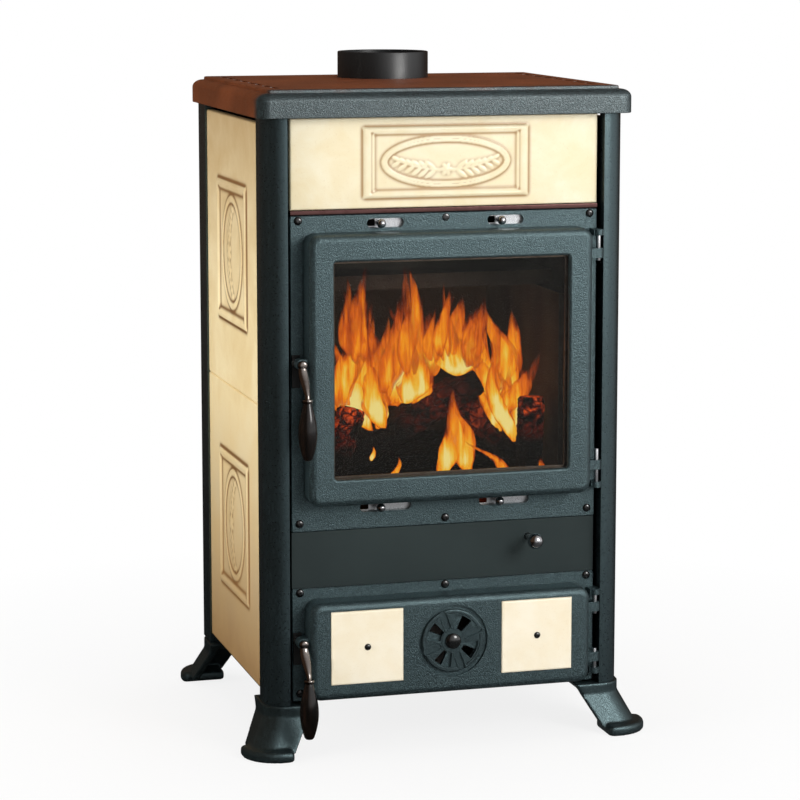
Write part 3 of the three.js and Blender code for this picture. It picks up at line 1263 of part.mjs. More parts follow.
function firebricks() {
  const outer = SHELL_INNER - FIT_GAP;
  const inner = outer - BRICK_THICKNESS;
  const front = PANEL_PLANE + BRICK_SETBACK;
  const rearFace = SHELL_BACK - SHELL_WALL - FIT_GAP - BRICK_THICKNESS;
  const top = HEARTH_Z + BRICK_HEIGHT;
  const side = (name, sign) => {
    const [x0, x1] = [sign * inner, sign * outer].sort((a, b) => a - b);
    return piece(`firebrick_${name}`, block([x0, front, HEARTH_Z], [x1, rearFace - FIT_GAP, top]), FIREBRICK);
  };
  const rear = block([-outer, rearFace, HEARTH_Z], [outer, rearFace + BRICK_THICKNESS, top]);
  const baffleLow = top + FIT_GAP;
  const baffleBack = rearFace + BRICK_THICKNESS;
  const baffle = block(
    [-outer, baffleBack - BAFFLE_DEPTH, baffleLow],
    [outer, baffleBack, baffleLow + BAFFLE_THICKNESS],
  );
  const grateBack = GRATE_FRONT + GRATE_LENGTH;
  const half = inner - FIT_GAP;
  const hearthTop = HEARTH_Z + HEARTH_THICKNESS;
  const grateHalf = GRATE_WIDTH / 2 + GRATE_PLAY;
  const bed = cut(
    block([-half, front, HEARTH_Z], [half, rearFace - FIT_GAP, hearthTop]),
    block(
      [-grateHalf, GRATE_FRONT - GRATE_SLIDE - GRATE_FRONT_PLAY, HEARTH_Z - 1],
      [grateHalf, grateBack + GRATE_PLAY, hearthTop + 1],
    ),
  );
  return group(
    side('left', -1),
    side('right', 1),
    piece('firebrick_rear', rear, FIREBRICK),
    piece('hearth_plate', bed, CAST_IRON),
    piece('smoke_baffle', baffle, FIREBRICK),
  );
}

function shaker() {
  const grateBack = GRATE_FRONT + GRATE_LENGTH;
  const grateLow = HEARTH_Z;
  const pitch = GRATE_WIDTH / GRATE_SLOTS;
  const slots = Array.from({ length: GRATE_SLOTS }, (_, index) => {
    const x = (index - (GRATE_SLOTS - 1) / 2) * pitch;
    return block(
      [x - GRATE_SLOT_WIDTH / 2, GRATE_FRONT + GRATE_END_BAR, grateLow - 1],
      [x + GRATE_SLOT_WIDTH / 2, grateBack - GRATE_END_BAR, grateLow + GRATE_THICKNESS + 1],
    );
  });
  const half = GRATE_WIDTH / 2;
  const grate = cut(
    block([-half, GRATE_FRONT, grateLow], [half, grateBack, grateLow + GRATE_THICKNESS]),
    ...slots,
  );
  const r = SHAKER_ROD_RADIUS;
  const rodFront = PANEL_PLANE - SHAKER_REACH + SHAKER_KNOB_RADIUS;
  const rod = solid(new THREE.CylinderGeometry(r, r, SHAKER_ARM_DEPTH - rodFront, 16)
    .translate(SHAKER_X, (SHAKER_ARM_DEPTH + rodFront) / 2, SHAKER_Z));
  const arm = block(
    [SHAKER_ARM_X - r, SHAKER_ARM_DEPTH - r, SHAKER_Z - r],
    [SHAKER_X + r, SHAKER_ARM_DEPTH + r, SHAKER_Z + r],
  );
  const finger = block(
    [SHAKER_ARM_X - r, SHAKER_ARM_DEPTH - r, SHAKER_Z - r],
    [SHAKER_ARM_X + r, SHAKER_ARM_DEPTH + r, grateLow - FIT_GAP],
  );
  const knob = cut(
    solid(new THREE.SphereGeometry(SHAKER_KNOB_RADIUS, 20, 10)),
    solid(new THREE.CylinderGeometry(r + FIT_GAP, r + FIT_GAP, SHAKER_KNOB_RADIUS + FIT_GAP, 16)
      .translate(0, SHAKER_KNOB_RADIUS / 2 - FIT_GAP / 2, 0)),
  );
  const knobMesh = piece('shaker_knob', knob, CHROME);
  knobMesh.position.set(SHAKER_X, rodFront, SHAKER_Z);
  return group(
    piece('grate', grate, CAST_IRON),
    piece('shaker_rod', join(rod, arm, finger), BRIGHT_STEEL),
    knobMesh,
  );
}

function ashPan() {
  const half = ASH_PAN_WIDTH / 2;
  const front = PANEL_PLANE + ASH_PAN_SETBACK;
  const back = front + ASH_PAN_DEPTH;
  const t = ASH_PAN_SHEET;
  const pan = cut(
    block([-half, front, PAN_Z], [half, back, PAN_Z + ASH_PAN_HEIGHT]),
    block([-half + t, front + t, PAN_Z + t], [half - t, back - t, PAN_Z + ASH_PAN_HEIGHT + 1]),
  );
  const shelfTop = PAN_Z - FIT_GAP;
  const shelfLow = SHELL_BOTTOM + SHELL_WALL + FIT_GAP;
  const reach = half + SHELF_MARGIN;
  const legInside = reach - SHELF_THICKNESS;
  const underside = shelfTop - SHELF_THICKNESS;
  const shelf = cut(
    block([-reach, front - SHELF_MARGIN, shelfLow], [reach, back + SHELF_MARGIN, shelfTop]),
    block(
      [-legInside, front - SHELF_MARGIN - 1, shelfLow - 1],
      [legInside, back + SHELF_MARGIN + 1, underside],
    ),
  );
  return group(piece('ash_pan', pan, BRIGHT_STEEL), piece('ash_pan_shelf', shelf, BLACK_STEEL));
}

// ---------------------------------------------------------------- the stove

const stove = group(
  structure(),
  piece('top_plate', topPlate(), CAST_PAINT),
  flueCollar(),
  sideCladding('left', -Math.PI / 2),
  sideCladding('right', Math.PI / 2),
  backPanel(),
  fireboxShell(),
  firebricks(),
  shaker(),
  ashPan(),
  facade(
    0,
    -PANEL_PLANE,
    lowerFrontFrame(),
    middlePanel(),
    upperFrontFrame(),
    trimStrip(),
    ceramicSlab(),
    ...hingePins(),
    catchPlate('fire_catch_plate', FIRE_DOOR_BOTTOM + FIRE_PIVOT_HEIGHT),
    catchPlate('ash_catch_plate', ASH_DOOR_BOTTOM + ASH_PIVOT_HEIGHT),
    airSlide('upper_air', UPPER_SLOT_Z, UPPER_SLOT_LENGTH, UPPER_KNOB_SHIFT),
    airSlide('lower_air', LOWER_SLOT_Z, LOWER_SLOT_LENGTH, LOWER_KNOB_SHIFT),
    fireDoor(),
    ashDoor(),
  ),
);
stove.name = 'tiled_stove';

const extent = new THREE.Box3().setFromObject(stove, true);
stove.position.y = -(extent.min.y + extent.max.y) / 2;

export default stove;
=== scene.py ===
"""Looks of a tiled wood stove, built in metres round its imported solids."""

import functools
import logging
import math
from dataclasses import dataclass, field
from enum import Enum
from typing import Callable, Iterable, Sequence

import bmesh
import bpy
import numpy as np
from mathutils import Matrix, Vector


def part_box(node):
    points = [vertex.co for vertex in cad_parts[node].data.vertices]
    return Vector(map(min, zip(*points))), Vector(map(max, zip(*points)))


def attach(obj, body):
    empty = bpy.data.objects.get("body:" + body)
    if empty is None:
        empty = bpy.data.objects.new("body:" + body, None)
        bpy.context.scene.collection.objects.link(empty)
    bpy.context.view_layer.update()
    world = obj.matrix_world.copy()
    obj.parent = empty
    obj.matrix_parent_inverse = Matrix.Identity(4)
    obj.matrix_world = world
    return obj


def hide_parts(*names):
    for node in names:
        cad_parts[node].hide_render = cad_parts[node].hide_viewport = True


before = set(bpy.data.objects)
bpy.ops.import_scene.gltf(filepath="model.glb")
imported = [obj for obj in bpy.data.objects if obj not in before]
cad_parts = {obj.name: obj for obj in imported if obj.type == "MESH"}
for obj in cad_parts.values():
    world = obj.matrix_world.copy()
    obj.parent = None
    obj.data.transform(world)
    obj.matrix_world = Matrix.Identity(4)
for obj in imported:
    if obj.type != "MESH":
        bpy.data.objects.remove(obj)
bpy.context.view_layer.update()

LOG = logging.getLogger("tiled_stove")
MM = 0.001
Point = tuple[float, float, float]
Colour = tuple[float, float, float]
Socket = bpy.types.NodeSocket

BODY = "stove_body"


class Slot(str, Enum):
    """The record's material slots."""

    CAST = "cast_paint"
    POST = "post_paint"
    SHEET = "sheet_paint"
    BLACK = "black_sheet"
    IVORY = "ivory_glaze"
    OCHRE = "ochre_glaze"
    CHROME = "chrome"
    STEEL = "bright_steel"
    GRIP = "black_grip"
    BRICK = "firebrick"
    IRON = "bare_iron"
    ROPE = "rope"
    GLASS = "door_glass"


# ---------------------------------------------------------------- colours and node trees


def srgb(red: int, green: int, blue: int) -> Colour:
    """A colour as linear values.

    Args:
        red, green, blue: the colour as it shows on a screen, 0 to 255.

    Returns:
        The three linear values.
    """
    def linear(value: float) -> float:
        """One channel, 0 to 1, made linear."""
        return value / 12.92 if value <= 0.04045 else ((value + 0.055) / 1.055) ** 2.4

    return linear(red / 255), linear(green / 255), linear(blue / 255)


class Bench:
    """A node tree with short ways to add nodes and join them."""

    def __init__(self, tree: bpy.types.NodeTree) -> None:
        """Starts an empty tree."""
        self.tree = tree
        tree.nodes.clear()

    def add(self, kind: str, inputs: dict | None = None, **settings: object) -> bpy.types.Node:
        """Adds a node.

        Args:
            kind: the node's type.
            inputs: values or sockets for its inputs, by name or index.
            settings: its own properties.

        Returns:
            The node.
        """
        node = self.tree.nodes.new(kind)
        for key, value in settings.items():
            setattr(node, key, value)
        for key, value in (inputs or {}).items():
            self.feed(node.inputs[key], value)
        return node

    def feed(self, socket: Socket, value: object) -> None:
        """Joins a socket to an input, or sets the input's value.

        Args:
            socket: the input.
            value: a socket, a number or a colour.
        """
        if isinstance(value, bpy.types.NodeSocket):
            self.tree.links.new(value, socket)
        elif socket.type == "RGBA" and len(value) == 3:
            socket.default_value = (*value, 1.0)
        else:
            socket.default_value = value

    def place(self, scale: Point = (1, 1, 1), turn: Point = (0, 0, 0)) -> Socket:
        """Object coordinates, scaled and turned.

        Args:
            scale: stretch along each axis.
            turn: turn round each axis, in radians.

        Returns:
            The coordinates.
        """
        where = self.add("ShaderNodeTexCoord").outputs["Object"]
        if scale == (1, 1, 1) and turn == (0, 0, 0):
            return where
        return self.add("ShaderNodeMapping", {"Vector": where, "Scale": scale, "Rotation": turn}).outputs[0]

    def value(self, name: str) -> Socket:
        """A mesh's own value of that name, one a point."""
        return self.add("ShaderNodeAttribute", attribute_name=name).outputs["Fac"]

    def along(self, where: Socket, axis: int) -> Socket:
        """One of a vector's three numbers."""
        return self.add("ShaderNodeSeparateXYZ", {0: where}).outputs[axis]

    def noise(self, where: Socket, scale: float, detail: float = 2, rough: float = 0.5,
              bend: float = 0) -> Socket:
        """Soft noise from 0 to 1 round a half."""
        inputs = {"Vector": where, "Scale": scale, "Detail": detail, "Roughness": rough, "Distortion": bend}
        return self.add("ShaderNodeTexNoise", inputs).outputs["Fac"]

    def cells(self, where: Socket, scale: float, output: str = "Distance", feature: str = "F1") -> Socket:
        """Cells of a Voronoi pattern."""
        node = self.add("ShaderNodeTexVoronoi", {"Vector": where, "Scale": scale}, feature=feature)
        return node.outputs[output]

    def ramp(self, value: Socket, stops: Sequence[tuple[float, Colour]]) -> Socket:
        """A run of colours over a value.

        Args:
            value: the value from 0 to 1.
            stops: each stop's place and its colour.

        Returns:
            The colour.
        """
        node = self.add("ShaderNodeValToRGB", {"Fac": value})
        elements = node.color_ramp.elements
        while len(elements) < len(stops):
            elements.new(0.5)
        for element, (at, _) in zip(elements, stops):
            element.position = at
        for element, (_, colour) in zip(elements, stops):
            element.color = (*colour, 1.0)
        return node.outputs["Color"]

    def mix(self, share: Socket | float, first: object, second: object, blend: str = "MIX") -> Socket:
        """Mixes two colours.

        Args:
            share: how much of the second.
            first, second: colours or sockets.
            blend: how they are mixed.

        Returns:
            The colour.
        """
        node = self.add("ShaderNodeMix", data_type="RGBA", blend_type=blend)
        self.feed(node.inputs[0], share)
        self.feed(node.inputs[6], first)
        self.feed(node.inputs[7], second)
        return node.outputs[2]

    def sum(self, operation: str, first: object, second: object = 0.0, clamp: bool = False) -> Socket:
        """One step of arithmetic."""
        node = self.add("ShaderNodeMath", {0: first, 1: second}, operation=operation, use_clamp=clamp)
        return node.outputs[0]

    def span(self, value: Socket, low: float, high: float, to_low: float = 0,
             to_high: float = 1) -> Socket:
        """Maps a value from one range to another and holds it there."""
        inputs = {"Value": value, "From Min": low, "From Max": high, "To Min": to_low, "To Max": to_high}
        return self.add("ShaderNodeMapRange", inputs).outputs[0]

    def blend(self, share: Socket, first: Socket, second: Socket) -> Socket:
        """Mixes two shaders.

        Args:
            share: how much of the second.
            first, second: the shaders.

        Returns:
            The shader's output.
        """
        node = self.add("ShaderNodeMixShader", {0: share})
        self.feed(node.inputs[1], first)
        self.feed(node.inputs[2], second)
        return node.outputs[0]

    def bump(self, height: Socket, depth: float, strength: float = 1.0,
             under: Socket | None = None) -> Socket:
        """A bumped normal.

        Args:
            height: the height, 0 to 1.
            depth: metres between 0 and 1.
            strength: how much of it shows.
            under: a normal it comes on top of.

        Returns:
            The normal.
        """
        node = self.add("ShaderNodeBump", {"Height": height, "Distance": depth, "Strength": strength})
        if under is not None:
            self.feed(node.inputs["Normal"], under)
        return node.outputs[0]


class Finish:
    """A finish that gives one material, made once."""

    label = "finish"

    def paint(self, bench: Bench) -> Socket:
        """Builds the shader."""
        raise NotImplementedError


@functools.lru_cache(maxsize=None)
def material_of(finish: Finish) -> bpy.types.Material:
    """The material of a finish, the same one each time.

    Args:
        finish: the finish.

    Returns:
        The material.
    """
    material = bpy.data.materials.new(finish.label)
    material.use_nodes = True
    bench = Bench(material.node_tree)
    surface = finish.paint(bench)
    bench.add("ShaderNodeOutputMaterial", {"Surface": surface})
    return material


def principled(bench: Bench, **inputs: object) -> Socket:
    """A Principled shader."""
    named = {name.replace("_", " "): value for name, value in inputs.items()}
    return bench.add("ShaderNodeBsdfPrincipled", named).outputs[0]


# ---------------------------------------------------------------- finishes


@dataclass(frozen=True)
class CastPaint(Finish):
    """Stove paint on rough castings: near black, with a hammered grain that catches the light."""

    label: str = "cast_paint"
    dark: Colour = srgb(12, 16, 18)
    light: Colour = srgb(60, 76, 80)
    sheen_tint: Colour = (0.66, 0.94, 1.0)
    grain: float = 1050.0  # grains per metre
    depth: float = 0.00045
    roughness: float = 0.36
    warm_reflection_from: float | None = None  # painted warm-brown reflection behind this distance from the middle, in metres
    # the warm brown of the painted reflection
    warm_reflection_brown: Colour = srgb(112, 56, 26)

    def paint(self, bench: Bench) -> Socket:
        """Builds the shader; see Finish."""
        where = bench.place()
        fine = bench.noise(where, self.grain, 0)
        coarse = bench.noise(where, self.grain * 0.4, 1, 0.5)
        broad = bench.noise(where, 9, 3, 0.55)
        speck = bench.span(bench.mix(0.3, fine, coarse), 0.46, 0.63)
        tone = bench.sum("MULTIPLY", speck, bench.span(broad, 0.3, 0.7, 0.6, 1.0), True)
        colour = bench.mix(tone, self.dark, self.light)
        # painted warm-brown reflection on the plate behind its front shoulder, with paler flecks in it
        if self.warm_reflection_from is not None:
            back = bench.along(where, 1)
            patch = bench.sum("ADD", back, bench.sum("MULTIPLY", bench.noise(where, 30, 3), 0.02))
            cloud = bench.noise(where, 11, 3, 0.6)
            reflected_brown = bench.mix(bench.span(cloud, 0.3, 0.7), tuple(0.5 * c for c in self.warm_reflection_brown), self.warm_reflection_brown)
            flecks = bench.sum("MULTIPLY", speck, 0.25)
            reflected_brown = bench.mix(flecks, reflected_brown, tuple(1.8 * c for c in self.warm_reflection_brown))
            edge = bench.span(patch, self.warm_reflection_from, self.warm_reflection_from + 0.02)
            colour = bench.mix(edge, colour, reflected_brown)
        height = bench.sum("ADD", fine, bench.sum("MULTIPLY", coarse, 0.4))
        rough = bench.span(coarse, 0.3, 0.7, self.roughness - 0.07, self.roughness + 0.09)
        return principled(
            bench, Base_Color=colour, Roughness=rough, Normal=bench.bump(height, self.depth),
            IOR=1.6, Specular_IOR_Level=1.0, Specular_Tint=self.sheen_tint,
        )


@dataclass(frozen=True)
class SheetPaint(Finish):
    """Matt paint on flat sheet."""

    label: str = "sheet_paint"
    dark: Colour = srgb(36, 46, 47)
    light: Colour = srgb(46, 57, 57)
    grain: float = 900.0
    depth: float = 0.00008
    roughness: float = 0.55
    shine: float = 0.25

    def paint(self, bench: Bench) -> Socket:
        """Builds the shader; see Finish."""
        where = bench.place()
        fine = bench.noise(where, self.grain, 2)
        tone = bench.mix(0.35, bench.noise(where, 6, 3), fine)
        colour = bench.mix(bench.span(tone, 0.3, 0.7), self.dark, self.light)
        cloud = bench.noise(where, 25, 3)
        rough = bench.span(cloud, 0.3, 0.7, self.roughness - 0.05, self.roughness + 0.07)
        return principled(
            bench, Base_Color=colour, Roughness=rough, Normal=bench.bump(fine, self.depth),
            Specular_IOR_Level=self.shine,
        )


@dataclass(frozen=True)
class Glaze(Finish):
    """Glazed stoneware: a mottled body under a clear wavy glaze, darker where the relief is cut in, with
    pooled glaze and painted shade there.
    """

    label: str = "ivory_glaze"
    pale: Colour = srgb(252, 242, 212)
    deep: Colour = srgb(244, 226, 182)
    # darker body colour, for flecks and for the painted shade away from the palest belt
    hollow: Colour = srgb(206, 172, 112)
    # colour in the relief's hollows: pooled glaze with painted shade
    groove: Colour = srgb(166, 120, 62)
    groove_share: float = 0.8
    mottle: float = 16.0
    coat: float = 0.5
    shade_belt: float | None = None  # height of the palest belt, in metres; painted shade grows darker away from it

    def paint(self, bench: Bench) -> Socket:
        """Builds the shader; see Finish."""
        where = bench.place()
        cloud = bench.noise(where, self.mottle, 4, 0.6, 0.4)
        fleck = bench.noise(where, 420, 2, 0.6)
        colour = bench.mix(bench.span(cloud, 0.32, 0.72), self.pale, self.deep)
        colour = bench.mix(bench.span(fleck, 0.62, 0.8, 0, 0.25), colour, self.hollow)
        # pooled glaze with painted shade in the relief's hollows
        groove = bench.value("groove")
        colour = bench.mix(bench.sum("MULTIPLY", groove, self.groove_share, True), colour, self.groove)
        # painted shade: darker towards the top and more so towards the bottom, away from the palest belt
        if self.shade_belt is not None:
            height = bench.along(where, 2)
            level = bench.sum("ADD", height, bench.sum("MULTIPLY", bench.sum("SUBTRACT", cloud, 0.5), 0.12))
            shade_below = bench.span(level, self.shade_belt - 0.39, self.shade_belt - 0.02, 0.88, 0.0)
            shade_above = bench.span(level, self.shade_belt + 0.1, self.shade_belt + 0.38, 0.0, 0.55)
            colour = bench.mix(bench.sum("MAXIMUM", shade_below, shade_above), colour, self.hollow)
        wave = bench.bump(bench.noise(where, 60, 2), 0.0005, 0.35)
        normal = bench.bump(fleck, 0.00006, 0.5, wave)
        return principled(
            bench, Base_Color=colour, Roughness=0.42, Normal=normal,
            Coat_Weight=self.coat, Coat_Roughness=0.12, Coat_Normal=wave,
        )


@dataclass(frozen=True)
class Metal(Finish):
    """Bright metal with faint marks of use."""

    label: str = "chrome"
    colour: Colour = (0.82, 0.82, 0.84)
    stain: Colour = (0.55, 0.42, 0.33)
    roughness: float = 0.09
    brushed: float = 0.0
    stained: float = 0.2

    def paint(self, bench: Bench) -> Socket:
        """Builds the shader; see Finish."""
        where = bench.place()
        cloud = bench.noise(where, 90, 3, 0.6)
        lines = bench.noise(bench.place(scale=(1, 1, 24)), 300, 2)
        colour = bench.mix(bench.span(cloud, 0.5, 0.8, 0, self.stained), self.colour, self.stain)
        marks = bench.mix(self.brushed, cloud, lines)
        rough = bench.span(marks, 0.3, 0.7, self.roughness * 0.7, self.roughness * 1.5)
        normal = bench.bump(lines, 0.00004, self.brushed)
        return principled(bench, Base_Color=colour, Metallic=1.0, Roughness=rough, Normal=normal)


@dataclass(frozen=True)
class GlossGrip(Finish):
    """Black turned grip under a deep gloss."""

    label: str = "black_grip"
    colour: Colour = srgb(12, 10, 9)
    glow: Colour = srgb(30, 19, 14)

    def paint(self, bench: Bench) -> Socket:
        """Builds the shader; see Finish."""
        grain = bench.noise(bench.place(scale=(1, 1, 0.08)), 260, 3, 0.6)
        colour = bench.mix(bench.span(grain, 0.45, 0.8), self.colour, self.glow)
        smear = bench.span(bench.noise(bench.place(), 70, 3), 0.3, 0.7, 0.1, 0.18)
        return principled(bench, Base_Color=colour, Roughness=smear, Normal=bench.bump(grain, 0.00003, 0.4))


@dataclass(frozen=True)
class SootyStone(Finish):
    """Firebrick or iron under soot."""

    label: str = "firebrick"
    bare: Colour = srgb(104, 99, 94)
    soot: Colour = srgb(58, 56, 54)
    sooted: float = 0.75
    grain: float = 160.0
    roughness: float = 0.95

    def paint(self, bench: Bench) -> Socket:
        """Builds the shader; see Finish."""
        where = bench.place()
        cloud = bench.noise(where, 11, 4, 0.6)
        pits = bench.cells(where, self.grain)
        share = bench.span(cloud, 0.3, 0.75, self.sooted + 0.25, self.sooted - 0.35)
        colour = bench.mix(bench.sum("MULTIPLY", share, 1.0, True), self.bare, self.soot)
        height = bench.sum("ADD", bench.noise(where, self.grain * 2, 3), bench.span(pits, 0.0, 0.25))
        return principled(
            bench, Base_Color=colour, Roughness=self.roughness, Normal=bench.bump(height, 0.0008),
            Specular_IOR_Level=0.2,
        )


@dataclass(frozen=True)
class Rope(Finish):
    """Grey braided glass rope."""

    label: str = "rope"
    dark: Colour = srgb(44, 42, 40)
    light: Colour = srgb(104, 100, 94)

    def paint(self, bench: Bench) -> Socket:
        """Builds the shader; see Finish."""
        where = bench.place()
        threads = bench.noise(where, 1100, 2, 0.6)
        colour = bench.mix(bench.span(threads, 0.35, 0.7), self.dark, self.light)
        normal = bench.bump(threads, 0.0004)
        return principled(bench, Base_Color=colour, Roughness=0.95, Normal=normal, Sheen_Weight=0.2)


@dataclass(frozen=True)
class DoorGlass(Finish):
    """Clear ceramic glass, faintly smoked, that lets the lamps through."""

    label: str = "door_glass"
    tint: Colour = (0.9, 0.87, 0.83)
    ash: Colour = srgb(150, 152, 150)

    def paint(self, bench: Bench) -> Socket:
        """Builds the shader; see Finish."""
        smear = bench.span(bench.noise(bench.place(), 7, 3), 0.3, 0.7, 0.02, 0.05)
        clear = bench.add("ShaderNodeBsdfTransparent", {"Color": self.tint}).outputs[0]
        gloss = principled(bench, Base_Color=self.ash, Roughness=smear, Specular_IOR_Level=0.5)
        share = bench.add("ShaderNodeFresnel", {"IOR": 1.37}).outputs[0]
        return bench.blend(share, clear, gloss)


@dataclass(frozen=True)
class Charred(Finish):
    """Burnt wood, glowing in patches where the warmth attribute says."""

    label: str = "charred_wood"
    coal: Colour = srgb(24, 21, 20)
    ash: Colour = srgb(84, 76, 70)
    ember: Colour = srgb(255, 96, 20)

    def paint(self, bench: Bench) -> Socket:
        """Builds the shader; see Finish."""
        where = bench.place()
        skewed = bench.place(scale=(0.5, 1, 1), turn=(0, 0.6, 0))
        blocks = bench.cells(skewed, 75, "Distance", "DISTANCE_TO_EDGE")
        grain = bench.noise(bench.place(scale=(0.15, 1, 1)), 240, 4, 0.65)
        heat = bench.value("warmth")
        colour = bench.mix(bench.span(grain, 0.6, 0.85, 0, 0.5), self.coal, self.ash)
        whole = bench.span(blocks, 0.0, 0.09, 0.25, 1)
        patch = bench.span(bench.noise(where, 52, 4, 0.65, 0.6), 0.44, 0.64)
        lit = bench.sum("MULTIPLY", bench.sum("MULTIPLY", whole, patch), heat, True)
        glow = bench.ramp(lit, [
            (0.0, (0.0, 0.0, 0.0)), (0.2, srgb(74, 16, 6)), (0.55, srgb(190, 70, 24)), (0.8, self.ember),
            (1.0, srgb(255, 186, 84)),
        ])
        height = bench.sum("ADD", bench.span(blocks, 0.0, 0.12), bench.sum("MULTIPLY", grain, 0.7))
        return principled(
            bench, Base_Color=colour, Roughness=0.9, Normal=bench.bump(height, 0.0025),
            Emission_Color=glow, Emission_Strength=1.0, Specular_IOR_Level=0.2,
        )


@dataclass(frozen=True)
class Flame(Finish):
    """Fire: colour, glow and thickness follow the warmth attribute, drawn out into streaks."""

    label: str = "flame"
    streak: float = 150.0  # streaks per metre

    def paint(self, bench: Bench) -> Socket:
        """Builds the shader; see Finish."""
        heat = bench.value("warmth")
        where = bench.place(scale=(1, 0.5, 0.13))
        thin = bench.noise(where, self.streak, 3, 0.6, 0.5)
        wide = bench.noise(where, self.streak * 0.35, 2, 0.5, 0.8)
        ripple = bench.sum("ADD", bench.sum("MULTIPLY", thin, 0.5), bench.sum("MULTIPLY", wide, 0.6))
        level = bench.sum("ADD", heat, bench.span(ripple, 0.34, 0.76, -0.38, 0.46))
        colour = bench.ramp(level, [
            (0.0, srgb(96, 30, 12)), (0.18, srgb(176, 66, 18)), (0.36, srgb(236, 112, 20)),
            (0.56, srgb(255, 158, 26)), (0.78, srgb(255, 204, 66)), (1.0, srgb(255, 238, 150)),
        ])
        body = bench.sum("MULTIPLY", bench.span(level, 0.0, 0.5), bench.span(heat, 0.0, 0.2), True)
        light = bench.add("ShaderNodeEmission", {"Color": colour, "Strength": 1.0}).outputs[0]
        clear = bench.add("ShaderNodeBsdfTransparent").outputs[0]
        return bench.blend(body, clear, light)


CAST = CastPaint()
# the top plate's paint, with a painted warm-brown reflection behind its front shoulder
PLATE = CastPaint(label="top_plate_paint", sheen_tint=(0.8, 0.94, 0.97), warm_reflection_from=-0.188)
POST_PAINT = CastPaint(label="post_paint", light=srgb(30, 40, 44), depth=0.00014, roughness=0.34)
DISC_PAINT = CastPaint(label="disc_paint", dark=srgb(13, 17, 20), light=srgb(42, 54, 56), depth=0.0003)
SHEET = SheetPaint()
BLACK_SHEET = SheetPaint("black_sheet", srgb(18, 18, 18), srgb(29, 29, 29), 700, 0.0001, 0.5, 0.4)
FLUE_PAINT = SheetPaint("flue_paint", srgb(17, 18, 19), srgb(28, 30, 32), 700, 0.00006, 0.36, 0.6)
SCREW_BLACK = SheetPaint("screw_black", srgb(8, 9, 10), srgb(14, 15, 16), 900, 0.00002, 0.14, 1.0)
# the cast paint made darker for the feet: painted shade
SHADED_FOOT_PAINT = CastPaint(label="shaded_foot_paint", light=srgb(36, 46, 48), depth=0.0003)
IVORY = Glaze()
PALE_TILE = Glaze(label="door_tile_glaze", pale=srgb(254, 245, 224), deep=srgb(248, 234, 204), coat=0.4)
# The side tiles' glaze, deeper and warmer than the front's ivory: partly the glaze's own colour, partly
# painted warm shade of the side faces
OCHRE = Glaze(
    label="ochre_glaze", pale=srgb(250, 232, 188), deep=srgb(236, 210, 156), hollow=srgb(142, 102, 56),
    groove=srgb(120, 78, 36), groove_share=0.95, mottle=13.0, coat=0.35, shade_belt=0.47,
)
CHROME = Metal(colour=(0.5, 0.5, 0.52), stain=(0.2, 0.12, 0.08), stained=0.35)
LEVER_METAL = Metal("dark_chrome", (0.3, 0.27, 0.25), (0.1, 0.05, 0.03), 0.12, 0.0, 0.6)
STEEL = Metal("bright_steel", (0.62, 0.63, 0.65), (0.3, 0.26, 0.23), 0.26, 0.6, 0.25)
TRIM = Metal("trim_steel", (0.14, 0.07, 0.065), (0.04, 0.012, 0.01), 0.16, 0.5, 0.6)
BURNT_STEEL = Metal("heat_dulled_steel", (0.2, 0.18, 0.17), (0.1, 0.08, 0.06), 0.42, 0.4, 0.6)
GRIP = GlossGrip()
BRICK = SootyStone()
IRON = SootyStone("bare_iron", srgb(48, 44, 41), srgb(20, 18, 17), 0.6, 240.0, 0.8)
ROPE = Rope()
GLASS = DoorGlass()
CHARRED = Charred()
FLAME = Flame()


# ---------------------------------------------------------------- mesh making

Mesh = tuple[np.ndarray, list[tuple[int, ...]]]


def rounded(width: float, height: float, radius: float, x: float = 0, y: float = 0,
            steps: int = 8) -> np.ndarray:
    """A rounded rectangle, counter-clockwise.

    Args:
        width, height: its size.
        radius: its corner radius.
        x, y: its middle.
        steps: steps in each corner.

    Returns:
        Its points, one a row.
    """
    angle = np.concatenate([(quarter + np.linspace(0, 1, steps + 1)) * math.pi / 2 for quarter in range(4)])
    signs = np.repeat([[1, 1], [-1, 1], [-1, -1], [1, -1]], steps + 1, axis=0)
    middle = signs * [width / 2 - radius, height / 2 - radius]
    return middle + radius * np.column_stack([np.cos(angle), np.sin(angle)]) + [x, y]


def at_level(outline: np.ndarray, level: float) -> np.ndarray:
    """A flat outline lifted to a level."""
    return np.column_stack([outline, np.full(len(outline), level)])


def skin(rings: Sequence[np.ndarray], loop: bool = False, caps: bool = True) -> Mesh:
    """A skin over rings of equal point count.

    Args:
        rings: the rings, in order.
        loop: the last ring joins the first one.
        caps: the two end rings are closed with a face each.

    Returns:
        Points and faces.
    """
    count = len(rings[0])
    points = np.concatenate(rings)
    faces = []
    for low in range(len(rings) - (0 if loop else 1)):
        high = (low + 1) % len(rings)
        for i in range(count):
            j = (i + 1) % count
            faces.append((low * count + i, low * count + j, high * count + j, high * count + i))
    if caps and not loop:
        faces.append(tuple(reversed(range(count))))
        faces.append(tuple(range(len(points) - count, len(points))))
    return points, faces


def turned(profile: Sequence[tuple[float, float]], sides: int = 48) -> Mesh:
    """A profile turned round Z, its ends closed.

    Args:
        profile: radius and height of each point, from the bottom up, the first and last on the axis.
        sides: how many sides.

    Returns:
        Points and faces.
    """
    angle = np.arange(sides) * 2 * math.pi / sides
    round_ = np.column_stack([np.cos(angle), np.sin(angle)])
    inner = [at_level(round_ * radius, height) for radius, height in profile[1:-1]]
    points, faces = skin(inner, caps=False)
    low, high = len(points), len(points) + 1
    points = np.vstack([points, [0, 0, profile[0][1]], [0, 0, profile[-1][1]]])
    last = (len(inner) - 1) * sides
    for i in range(sides):
        j = (i + 1) % sides
        faces.append((low, j, i))
        faces.append((high, last + i, last + j))
    return points, faces


